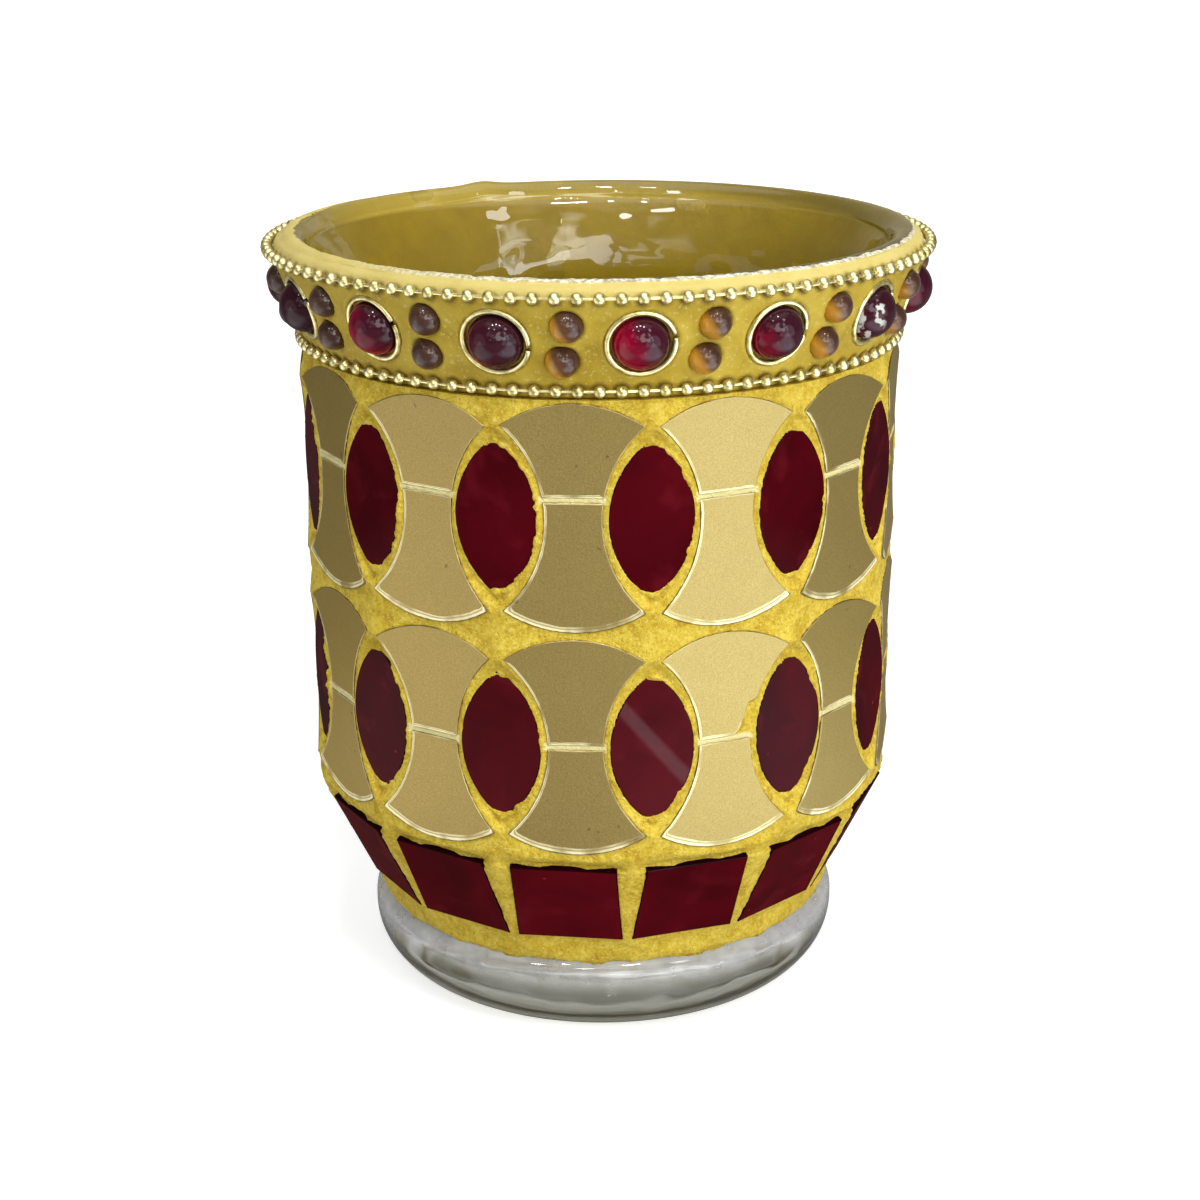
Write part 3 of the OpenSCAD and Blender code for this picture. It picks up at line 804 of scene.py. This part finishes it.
def around(radius, angle, height):
    """Points at these radii, angles and heights, as rows of x, y and z."""
    return np.stack([radius * np.sin(angle), -radius * np.cos(angle), height + 0 * angle], 1)


def ring_of(radius, height, angles):
    """Points at one radius and height, in metres."""
    return [polar(radius, angle, height) * mm for angle in angles]


def ripple(places, size, seed):
    """Smooth noise at each place, in mm, between about -1 and 1."""
    shift = Vector((seed * 17.3, seed * 5.1, seed * 9.7))
    return np.array([noise.noise(Vector(p) / size + shift) for p in places]) * 1.6


def grout_surface(r, z, nr, nz, angle):
    """How far outside the nearest tile each point lies, the face there, and what kind of tile it is."""
    found = []

    def face(first, step, tilt, top_r, top_z, offset, k):
        delta = angle - (first + k * step)
        q_r, q_t, q_z = r * np.cos(delta) - top_r, r * np.sin(delta), z - top_z
        n_r, n_t = nr * np.cos(delta), nr * np.sin(delta)
        slope = n_r * cos(tilt) - nz * sin(tilt)
        rise = (offset - (q_r * cos(tilt) - q_z * sin(tilt))) / slope
        p_r, p_t, p_z = q_r + n_r * rise, q_t + n_t * rise, q_z + nz * rise
        return rise, p_t, p_r * sin(tilt) + p_z * cos(tilt)

    for near in (-1, 0, 1):
        k = np.round((angle - column_turn) / column_step) + near
        column = np.mod(k, columns)
        for row in (0, 1):
            rise, x, y = face(column_turn, column_step, 0.0, tile_face, seam_z[row], 0.0, k)
            turn = hand_turn * stray(2 * column + row)
            y = y - hand_lift * stray(column + row * columns)
            x, y = x * np.cos(turn) + y * np.sin(turn), y * np.cos(turn) - x * np.sin(turn)
            for upper in (False, True):
                broken = (column == chip_column) & (row == 0) & upper
                found.append((gold_gap(x, y if upper else -y, row, upper, broken), rise, 0, x, y))
        k = np.round((angle - lens_turn) / column_step) + near
        for row in (0, 1):
            rise, x, y = face(lens_turn, column_step, 0.0, tile_face, lens_z[row], 0.0, k)
            found.append((np.maximum(*lens_arcs(x, y)), rise, 1, x, y))
        k = np.round((angle - base_turn) / base_step) + near
        rise, x, y = face(base_turn, base_step, taper, cone_r(base_top_z), base_top_z, bed_t + tile_t, k)
        found.append((np.maximum(np.abs(x) - half, np.abs(y + half) - half), rise, 2, x, y))
    gaps, faces, kinds, x, y = (np.array(column) for column in zip(*found))
    faces = np.clip(faces, -0.5, 1.4)
    nearest, pick = np.argmin(gaps, axis=0), np.arange(len(angle))
    weights = 1 / (np.maximum(gaps, 0) + 0.22) ** 3
    level = (weights * faces).sum(axis=0) / weights.sum(axis=0)
    gap = gaps[nearest, pick]
    level = np.where(gap < 0, faces[nearest, pick], level)
    return gap, level, kinds[nearest], x[nearest, pick], y[nearest, pick]


line_z, angles, grid_angle, grid_r, grid_z, grid_nr, grid_nz = wrap_line(grout_line, cell, grout_turns)
rows = len(line_z)
gap, level, kind, tile_x, tile_y = grout_surface(grid_r, grid_z, grid_nr, grid_nz, grid_angle)
kept = gap > -over_tiles
places = around(grid_r, grid_angle, grid_z)[kept]

# Three noises: how ragged the edges are, where more grout was left, and how sandy the skin is.
rag, patches, sand = (np.zeros(len(gap)) for _ in range(3))
rag[kept] = ripple(places, 0.75, 1) * 0.8 + ripple(places, 2.2, 2) * 0.5
patches[kept] = np.clip(0.5 + ripple(places, 4.5, 7), 0, 1)
sand[kept] = ripple(places, 0.8, 3) * 0.05 + ripple(places, 5.0, 4) * 0.12
blunt = 2.4
one, other = lens_arcs(tile_x, tile_y)
rounded = np.hypot(np.maximum(one + blunt, 0), np.maximum(other + blunt, 0)) - blunt
at_tip = (kind == 1) & (one > -blunt) & (other > -blunt)
soft_gap = np.where(at_tip, np.maximum(gap, rounded), gap)
right = np.clip(0.5 + tile_x / 4, 0, 1)

# How high the grout stands at the edges of gold tiles, lenses and base squares, above their faces.
creep = np.select(
    [kind == 0, kind == 1],
    [-0.17 + 0.08 * rag + 0.14 * patches * (tile_y > 6),
    -0.02 + (0.1 + 0.22 * patches * right) * rag + 0.2 * right * patches],
    -0.12 + 0.1 * rag - 0.25 * (tile_y > -1.0))
in_seam = (kind == 0) & (np.abs(tile_y) < 0.5) & (np.abs(tile_x) < waist_w / 2 + 1)
creep = np.where(in_seam, -0.06 + 0.05 * rag, creep)
over_base = (kind == 2) & (tile_y > 0)
out_of_tile = np.maximum(gap, 0)

# How deep it lies between tiles. It is deepest over the base squares.
recess = 0.16 + 0.22 * (1 - np.exp(-out_of_tile / 1.5)) + 0.95 * over_base * np.exp(-out_of_tile / 1.1)
over = level + creep + 0.9 * soft_gap + np.where(soft_gap > 0, -0.55 * soft_gap, 0)
between = level + creep - (creep + recess) * (1 - np.exp(-out_of_tile / np.where(over_base, 0.05, 0.35)))
lift = np.where(gap < 0, over, between) + sand * np.clip(gap / 0.6, 0, 1)

# It stays low under the clay's edge and runs out in a thin uneven edge on the foot.
hem = np.clip((grid_z - clay_low_z + hem_h) / hem_h, 0, 1)
lift = lift * (1 - hem) + hem * np.minimum(lift, 0.2)
end_share = np.clip((grout_end_z - grid_z) / end_h, 0, 1)
rim_places = around(noise_ring_r, angles, 0)
edge_noise = sum(ripple(rim_places, size, seed) * height
    for size, seed, height in ((6.0, 5, 0.26), (1.5, 6, 0.12), (0.6, 14, 0.06)))
slide = np.tile(edge_noise, rows) * end_share
lift = lift * (1 - end_share) + (0.55 - 0.5 * end_share ** 3) * end_share
skin_r = grid_r + grid_nr * lift + 0.35 * slide
skin_z = grid_z + grid_nz * lift + slide
skin = around(skin_r, grid_angle, skin_z).reshape(rows, grout_turns, 3)
next_to = np.roll(skin, -1, axis=1) - np.roll(skin, 1, axis=1)
skin_normals = np.cross(np.gradient(skin, axis=0), next_to).reshape(-1, 3)
skin_normals /= np.linalg.norm(skin_normals, axis=1)[:, None] + 1e-9


def glass_side(height):
    """Radius of the glass's outside at each height."""
    sag = np.sqrt(np.clip(shoulder_round ** 2 - (height - shoulder_z) ** 2, 0, None))
    cone = wall_r - np.clip(taper_z - height, 0, None) * tan(taper)
    return np.where(height < neck_z, foot_r - shoulder_round + sag, cone)


bond = -0.03
under_r = glass_side(skin_z) + np.where(skin_z < 12.6, bond - 0.02, 0.1)
skin_r = np.maximum(skin_r, under_r + 0.02)


def grout_piece(name, first_row, last_row):
    """Part of the grout between two rows of the grid. Its normals are the whole skin's, so that no
    joint shows."""
    keep = kept.reshape(rows, grout_turns)
    keep = keep & np.roll(keep, -1, axis=1)
    cells = keep[first_row:last_row] & keep[first_row + 1:last_row + 1]
    quads = []
    for i, j in zip(*np.nonzero(cells)):
        a, b = (first_row + i) * grout_turns + j, (first_row + i) * grout_turns + (j + 1) % grout_turns
        quads.append((a, b, b + grout_turns, a + grout_turns))
    used = sorted({v for quad in quads for v in quad})
    new = {v: k for k, v in enumerate(used)}
    count = len(used)
    tops = [polar(skin_r[v], grid_angle[v], skin_z[v]) * mm for v in used]
    unders = [polar(under_r[v], grid_angle[v], skin_z[v]) * mm for v in used]
    faces = [tuple(new[v] for v in quad) for quad in quads]
    sides = [side for quad in faces for side in zip(quad, quad[1:] + quad[:1])]
    inner = set(sides)
    walls = [(b, a, a + count, b + count) for a, b in sides if (b, a) not in inner]
    backs = [tuple(v + count for v in face[::-1]) for face in faces]
    mesh = finished_mesh(name, tops + unders, faces + backs + walls)
    flat_from = len(faces + backs)
    mesh.polygons.foreach_set("use_smooth", [i < flat_from for i in range(len(mesh.polygons))])
    corner_points = np.empty(len(mesh.loops), int)
    mesh.loops.foreach_get("vertex_index", corner_points)
    normals = np.zeros((len(mesh.loops), 3))
    top_corners = 4 * len(faces)
    normals[:top_corners] = skin_normals[np.array(used)[corner_points[:top_corners]]]
    mesh.normals_split_custom_set(normals.tolist())
    keep_values(mesh, "pale", [float(in_seam[v]) for v in used] * 2)
    return mesh


def grout_finish(name, deep, middle, light):
    """Sandy yellow with darker grains and orange-brown mottling. Seams between tile halves are paler."""
    material, tree, shader = new_material(name)
    mottle = noise_texture(tree, 480, 5, 0.75, 0.4)
    grain = noise_texture(tree, 2400, 3, 0.75)
    yellow = ramp(mottle, (0.34, deep), (0.46, middle), (0.62, light))
    yellow = mix(ramp(grain, (0.33, 0.9), (0.46, 0)), yellow, deep)
    yellow = mix(ramp(grain, (0.56, 0), (0.67, 0.7)), yellow, (0.9, 0.74, 0.2))
    yellow = mix(attribute(tree, "pale"), yellow, (0.86, 0.76, 0.34))
    fill(shader, Base_Color=yellow, Roughness=0.85, Specular_IOR_Level=0.25,
        Normal=bump(grain, 0.8, 0.0004, Normal=bump(mottle, 0.5, 0.0007)))
    return material


sanded_grout = grout_finish("yellow_sanded_grout",
    (0.52, 0.32, 0.018), (0.67, 0.47, 0.037), (0.8, 0.61, 0.075))
# The grout bed against the glass is given darker grout colours.
darker_grout_behind_glass = grout_finish("grout_behind_glass",
    (0.26, 0.15, 0.005), (0.36, 0.24, 0.01), (0.44, 0.32, 0.022))
row_cuts = [int(np.argmin(np.abs(line_z - cut_z))) for cut_z in (rows_meet_z, taper_z)]
row_cuts = [0] + row_cuts + [rows - 1]
for k, name in enumerate(("grout_upper_row", "grout_lower_row", "grout_taper")):
    add_piece(name, grout_piece(name, row_cuts[k], row_cuts[k + 1]), sanded_grout, "grout", "grout")
bed_top, bed_end, bed_turns = clay_low_z - 0.1, 12.3, 192
bed_z = [bed_top + (bed_end - bed_top) * k / 60 for k in range(61)]
bed_rings = [ring_of(float(glass_side(np.array(height))) + offset, height, even_angles(bed_turns))
    for offset, heights in ((bond, bed_z), (0.25, bed_z[::-1])) for height in heights]
add_piece("grout_bed", shell("grout_bed", bed_rings, closed=True), darker_grout_behind_glass, "grout", "grout")


# Clay band: mustard polymer clay pressed by hand round the flare and over the lip, then baked. It
# swells a little round the stones and chains that were pushed into it.
chain_top_z, chain_low_z = cup_h - 1.7, cup_h - 13.0
chain_top_r, chain_low_r = wall_r + 6.25, wall_r + 2.55
chains = (("upper", 106, chain_top_r, chain_top_z), ("lower", 96, chain_low_r, chain_low_z))
bead_proud = 0.45
ridge_h, ridge_shift, ridge_w = 0.1, 0.95, 0.35
groove_h, groove_w = 0.1, 0.5
bead_shade_r, bead_shade_fade = 1.25, 0.35
band_tilt = atan((chain_top_r - chain_low_r) / (chain_top_z - chain_low_z))
stone_count, stone_turn = 15, radians(6.8)
stone_step = 2 * pi / stone_count
stone_r, stone_z = (chain_top_r + chain_low_r) / 2, (chain_top_z + chain_low_z) / 2
cabochon_d, ring_wire, ring_gap = 6.6, 0.7, 0.25
ring_r = cabochon_d / 2 + ring_gap + ring_wire / 2
amber_d, amber_step, amber_shift = 3.9, 4.5, 0.7
sink_r, sink_z = bead_proud * cos(band_tilt), bead_proud * sin(band_tilt)
clay_line = [lip_point(56), (chain_top_r - sink_r - 0.3, chain_top_z + sink_z + 0.35),
    (chain_top_r - sink_r, chain_top_z + sink_z - 0.4), (chain_low_r - sink_r, chain_low_z + sink_z),
    (chain_low_r - sink_r - 0.1, clay_low_z + 0.5), (chain_low_r - sink_r - 0.7, clay_low_z + 0.05)]
clay_cell, clay_turns = 0.3, 720
line_z, angles, grid_angle, grid_r, grid_z, grid_nr, grid_nz = wrap_line(clay_line, clay_cell, clay_turns)
rows = len(line_z)
places = around(grid_r, grid_angle, grid_z)
dents = ripple(places, 6.0, 8) * 0.12 + ripple(places, 2.2, 9) * 0.05


def stone_distance(first, up):
    """Distance of each clay point from the nearest stone of one kind, along the band's face."""
    k = np.round((grid_angle - first) / stone_step)
    delta = grid_angle - (first + k * stone_step)
    along = (grid_r * np.cos(delta) - stone_r) * sin(band_tilt) + (grid_z - stone_z) * cos(band_tilt)
    return np.hypot(grid_r * np.sin(delta), along - up)


def pressed(distance, seat_r, depth, swell, side_w=0.3, rim_w=0.35):
    """Seat and rim that a pressed-in stone leaves."""
    seat = -depth * np.clip((seat_r - distance) / side_w, 0, 1)
    rim = swell * np.exp(-((distance - seat_r - rim_w) / rim_w) ** 2)
    return np.where(distance < seat_r, seat, rim)


# Dents under the stones and chains, with low swellings beside them, and painted shade round and under the
# beads.
middle = stone_turn + stone_step / 2
amber_turns = {1: middle, -1: middle - atan(amber_shift / stone_r)}
dents += pressed(stone_distance(stone_turn, 0.0), ring_r + ring_wire / 2, 0.45, 0.16)
for side, first in amber_turns.items():
    dents += pressed(stone_distance(first, side * amber_step / 2), amber_d / 2 + 0.03, 0.5, 0.14)
bead_shade = np.zeros(len(grid_angle))
for _, beads, radius, height in chains:
    dents += ridge_h * np.exp(-((np.abs(grid_z - height) - ridge_shift) / ridge_w) ** 2)
    dents -= groove_h * np.exp(-((grid_z - height) / groove_w) ** 2)
    step = 2 * pi / beads
    across = grid_r * np.sin(grid_angle - np.round(grid_angle / step) * step)
    below = np.hypot(grid_r - radius, grid_z - height) * np.where(grid_z > height, -1, 1)
    apart = np.hypot(across, below * 0.9 - 0.1)
    bead_shade = np.maximum(bead_shade, np.clip((bead_shade_r - apart) / bead_shade_fade, 0, 1))
edge = np.minimum(np.arange(rows), np.arange(rows)[::-1])
dents *= np.repeat(np.clip(edge / 5, 0, 1), clay_turns)
rim_ends = np.repeat(np.clip(1 - np.arange(rows) / 4, 0, 1), clay_turns)
rag = (ripple(places, 1.6, 10) * 0.08 + ripple(places, 5.0, 11) * 0.08) * rim_ends
outer_r = grid_r + grid_nr * dents + rag
outer_z = grid_z + grid_nz * dents - rag * 0.5

# The film that creeps over the lip: angle round the cup, how far round the lip's section it ends,
# and how white its crumbs are.
film_edge = ((-180, 58, 0), (-128, 60, 0), (-108, 98, 0), (-72, 106, 0), (-48, 95, 0), (-30, 87, 0.6),
    (0, 81, 0.9), (45, 77, 0.9), (75, 72, 0.8), (100, 66, 0.4), (128, 60, 0), (180, 58, 0))
wrapped = np.degrees((angles + pi) % (2 * pi) - pi)
lip_places = around(noise_ring_r, angles, 0)
film_turn, film_reach, film_crumbs = zip(*film_edge)
film_lean = np.interp(wrapped, film_turn, film_reach)
film_rag = ripple(lip_places, 0.9, 12) * 6 + ripple(lip_places, 3.5, 13) * 6
film_lean += film_rag * np.clip((film_lean - 58) / 20, 0, 1)
film_pale = np.interp(wrapped, film_turn, film_crumbs)


def on_lip(leans, gap):
    """A ring of points at their own angles round the lip's section, a little outside or inside it."""
    ends = [lip_point(lean, gap) for lean in leans]
    return [polar(r, angle, z) * mm for (r, z), angle in zip(ends, angles)]


rings = [on_lip(film_lean - (film_lean - 56.5) * share, gap) for share, gap in
    ((0, 0.01), (0.08, 0.08), (0.3, 0.11), (0.55, 0.1), (0.8, 0.12))]
film_rings = len(rings)
outer = [polar(r, angle, z) * mm for r, angle, z in zip(outer_r, grid_angle, outer_z)]
rings += [outer[i * clay_turns:(i + 1) * clay_turns] for i in range(rows)]
back_line = [p for p in flare(wall_r + bond, lip_point(lip_out, bond)) if p[1] > clay_low_z]
back_line = [(wall_r + bond, clay_low_z)] + back_line
back_line += arc(lip_r, lip_z, lip_round + bond, lip_out, 50, 8)[1:]
rings += [ring_of(r, z, angles) for r, z in back_line]
rings += [on_lip(50 + (film_lean - 2 - 50) * share, bond) for share in (0.35, 0.7, 1.0)]

polymer_clay, tree, shader = new_material("mustard_polymer_clay")
_, _, height = split(object_place(tree))
smears = noise_texture(tree, 170, 4, 0.6, 0.4)
mustard = ramp(smears, (0.3, (0.4, 0.265, 0.016)), (0.5, (0.51, 0.36, 0.03)), (0.7, (0.62, 0.465, 0.056)))
# The slope above the upper chain is painted paler, as painted light on the part that faces up.
top_lit_mustard = mix(smears, (0.54, 0.41, 0.09), (0.78, 0.66, 0.24))
mustard = mix(grows(height, (chain_top_z - 0.3) * mm, (chain_top_z + 0.5) * mm), mustard, top_lit_mustard)
dust = ramp(noise_texture(tree, 2100, 2, 0.7), (0.6, 0), (0.68, 0.55))
mustard = mix(dust, mustard, (0.74, 0.62, 0.24))
# Painted shade on the clay round and under the chain beads.
mustard = mix(attribute(tree, "grime") * 0.75, mustard, (0.13, 0.085, 0.012))
behind = mix(smears, (0.185, 0.122, 0.002), (0.31, 0.215, 0.004))
behind = mix(grows(height, (cup_h - 4.0) * mm, (cup_h - 1.5) * mm), behind, (0.62, 0.48, 0.09))
mustard = mix(attribute(tree, "behind_glass"), mustard, behind)
crumbs = ramp(noise_texture(tree, 1900, 3, 0.6), (0.4, (0.36, 0.32, 0.2)), (0.5, (0.66, 0.62, 0.46)),
    (0.6, (0.92, 0.9, 0.82)))
mustard = mix(attribute(tree, "crumbs"), mustard, crumbs)
fill(shader, Base_Color=mustard, Roughness=0.5, Specular_IOR_Level=0.22,
    Normal=bump(noise_texture(tree, 1500, 3, 0.6), 0.18, 0.0003, Normal=bump(smears, 0.3, 0.0008)))
collar = shell("clay_collar", rings, closed=True)
film_points = film_rings * clay_turns
film, under = np.zeros(film_points), np.zeros(len(collar.vertices) - len(bead_shade) - film_points)
for label, values in (("grime", (film, bead_shade, under)), ("behind_glass", (film, bead_shade * 0, under + 1)),
        ("crumbs", (np.tile(film_pale, film_rings), bead_shade * 0, under))):
    keep_values(collar, label, np.concatenate(values))
add_piece("clay_collar", collar, polymer_clay, "clay", "clay_band")


# Ball chains: fine brass ball chain laid along both edges of the clay. Each hollow bead holds the
# heads of two pins, and only the pins' middles show between beads.
def chain_maker():
    """Geometry Nodes that lay beads round a ring, and a pin from each bead to the next."""
    tree, given, index = open_tree("ball_chain", beads="Int", chain_radius="Float", height="Float",
        bead_radius="Float", pin_radius="Float", Material="Material")
    step = 2 * pi / given["beads"]

    def copies(shape, shift, radius):
        angle = (index + shift) * step
        points = signal(tree, "GeometryNodePoints", Count=given["beads"],
            Position=on_ring(angle, radius, given["height"]))
        return signal(tree, "GeometryNodeInstanceOnPoints", Points=points, Instance=shape,
            Rotation=rotation(tree, 0.0, pi / 2, angle))

    ball = signal(tree, "GeometryNodeMeshUVSphere", "Mesh", Segments=12, Rings=7,
        Radius=given["bead_radius"])
    ball = signal(tree, "GeometryNodeSetShadeSmooth", Geometry=ball)
    pin = signal(tree, "GeometryNodeMeshCylinder", "Mesh", Vertices=8, Radius=given["pin_radius"],
        Depth=given["chain_radius"] * step)
    joined = tree.nodes.new("GeometryNodeJoinGeometry")
    connect(copies(ball, 0.0, given["chain_radius"]), joined.inputs[0])
    connect(copies(pin, 0.5, given["chain_radius"] * calculate("COSINE", step * 0.5)), joined.inputs[0])
    return close_tree(tree, given, joined.outputs[0])


pale_brass, tree, shader = new_material("pale_brass")
brass = ramp(noise_texture(tree, 900, 3, 0.6), (0.35, (0.44, 0.36, 0.13)), (0.5, (0.72, 0.63, 0.3)),
    (0.72, (0.88, 0.8, 0.44)))
fill(shader, Base_Color=brass, Metallic=0.92, Roughness=0.32,
    Normal=bump(noise_texture(tree, 2500, 2), 0.12, 0.0002))
chain_tree = chain_maker()
for side, beads, radius, height in chains:
    mesh = from_nodes(f"{side}_ball_chain", chain_tree, beads=beads, chain_radius=radius * mm,
        height=height * mm, bead_radius=0.75 * mm, pin_radius=0.2 * mm, Material=pale_brass)
    add_piece(f"{side}_ball_chain", mesh, None, "brass", f"{side}_chain_beads", f"{side}_chain_links")


# Cabochons: high domes of ruby glass, flat behind, each in a split ring of pale brass wire that
# was pushed into the clay with it.
cabochon_h, stone_seat = 2.7, 0.8


def dome_mesh(name, diameter, rise, seat, turns=40, steps=10):
    """A domed stone with a short rounded girdle. It keeps how far across each point lies."""
    radius = diameter / 2
    cap_r = (radius ** 2 + rise ** 2) / (2 * rise)
    spread = asin(radius / cap_r) if rise < radius else pi / 2
    outline = [(radius * 0.93, -seat), (radius, -seat + radius * 0.07), (radius, 0.0)]
    for i in range(1, steps):
        lean = spread * (1 - i / steps)
        outline.append((cap_r * sin(lean), rise - cap_r + cap_r * cos(lean)))
    rings = [[Vector((0, 0, -seat)) * mm]]
    rings += [[Vector((r * cos(a), r * sin(a), z)) * mm for a in even_angles(turns)] for r, z in outline]
    mesh = shell(name, rings + [[Vector((0, 0, rise)) * mm]])
    for axis, label in ((0, "stone_x"), (1, "stone_y")):
        keep_values(mesh, label, [v.co[axis] / (radius * mm) for v in mesh.vertices])
    return mesh


def seat_place(up):
    """Radius and height of a stone's seat on the band's face."""
    out = stone_r - bead_proud * cos(band_tilt) + up * sin(band_tilt)
    return out * mm, (stone_z + bead_proud * sin(band_tilt) + up * cos(band_tilt)) * mm


def stone_light(tree, x_share, y_share):
    """Grows from 0 to 1 across a stone, from one side to the other. It sets the painted light and shade on
    the stones.
    """
    return attribute(tree, "stone_x") * x_share + attribute(tree, "stone_y") * y_share + 0.5


ruby_stone, tree, shader = new_material("ruby_cabochon_glass")
# Painted light: each cabochon is brighter red towards its lower left, where light comes through, and darker
# purple to the upper right.
light = stone_light(tree, -0.38, -0.22) + (noise_texture(tree, 500, 2, 0.5) - 0.5) * 0.5
light += (attribute(tree, "tone") - 0.6) * 0.7
red = ramp(light, (0.15, (0.036, 0.006, 0.013)), (0.5, (0.06, 0.004, 0.014)), (0.68, (0.18, 0.0, 0.017)),
    (0.9, (0.32, 0.0, 0.024)))
foil = ramp(noise_texture(tree, 700, 2), (0.5, 0), (0.54, 1))
foil = foil * calculate("COMPARE", attribute(tree, "number"), 2.0, 0.5)
foil = foil * grows(attribute(tree, "stone_x"), -0.25, -0.5)
fill(shader, Base_Color=mix(foil, red, (0.62, 0.62, 0.58)), Roughness=0.3,
    Specular_IOR_Level=0.0, Coat_Weight=0.45, Coat_Roughness=0.02)
radius, height = seat_place(0)
in_band = {"count": stone_count, "radius": radius, "height": height, "tilt": band_tilt}
cabochons = set_pieces("cabochons", dome_mesh("cabochon", cabochon_d, cabochon_h, stone_seat - 0.05),
    ruby_stone, "ruby_glass", [f"cabochon_{i + 1}" for i in range(stone_count)],
    first_angle=stone_turn, **in_band)
stone_tones = {0: 0.8, 1: 0.35, 2: 0.1, 3: 0.15, 12: 0.15, 13: 0.9, 14: 0.38}
numbers, tones = (cabochons.data.attributes[name].data for name in ("number", "tone"))
tones.foreach_set("value", [stone_tones.get(round(n.value), tone.value) for n, tone in zip(numbers, tones)])

split_angle, wire_turns, wire_sides = radians(7), 48, 10
wire = []
for k in range(wire_turns + 1):
    a = (2 * pi - split_angle) * k / wire_turns
    section = [(ring_r + ring_wire / 2 * cos(b), ring_wire / 2 * sin(b)) for b in even_angles(wire_sides)]
    wire.append([Vector((r * cos(a), r * sin(a), z)) * mm for r, z in section])
ends = [[sum(ring, Vector()) / len(ring)] for ring in (wire[0], wire[-1])]
set_pieces("split_rings", shell("split_ring", [ends[0]] + wire + [ends[1]]), pale_brass, "brass",
    [f"cabochon_ring_{i + 1}" for i in range(stone_count)], first_angle=stone_turn,
    turn=radians(15), turn_spread=radians(25), turn_start=1.0, turn_step=1.0, **in_band)


# Amber half beads: small half balls of brown glass, two between each pair of cabochons, pressed
# into the clay with no ring.
amber_stone, tree, shader = new_material("amber_half_bead_glass")
# Painted light: each half bead is orange amber towards its lower left and dark brown to the upper right.
light = stone_light(tree, -0.42, -0.28) + (attribute(tree, "tone") - 0.5) * 0.4
brown = ramp(light, (0.35, (0.06, 0.024, 0.014)), (0.62, (0.13, 0.055, 0.018)), (0.84, (0.6, 0.28, 0.02)))
fill(shader, Base_Color=brown, Roughness=0.3, Specular_IOR_Level=0.1, Coat_Weight=0.55, Coat_Roughness=0.02)
for side, node in ((1, "amber_beads_upper"), (-1, "amber_beads_lower")):
    in_band["radius"], in_band["height"] = seat_place(side * amber_step / 2)
    set_pieces(node + "_set", dome_mesh("half_bead", amber_d, amber_d / 2 - 0.05, 0.35, 28, 8), amber_stone,
        "amber_glass", [node], first_angle=amber_turns[side], **in_band)
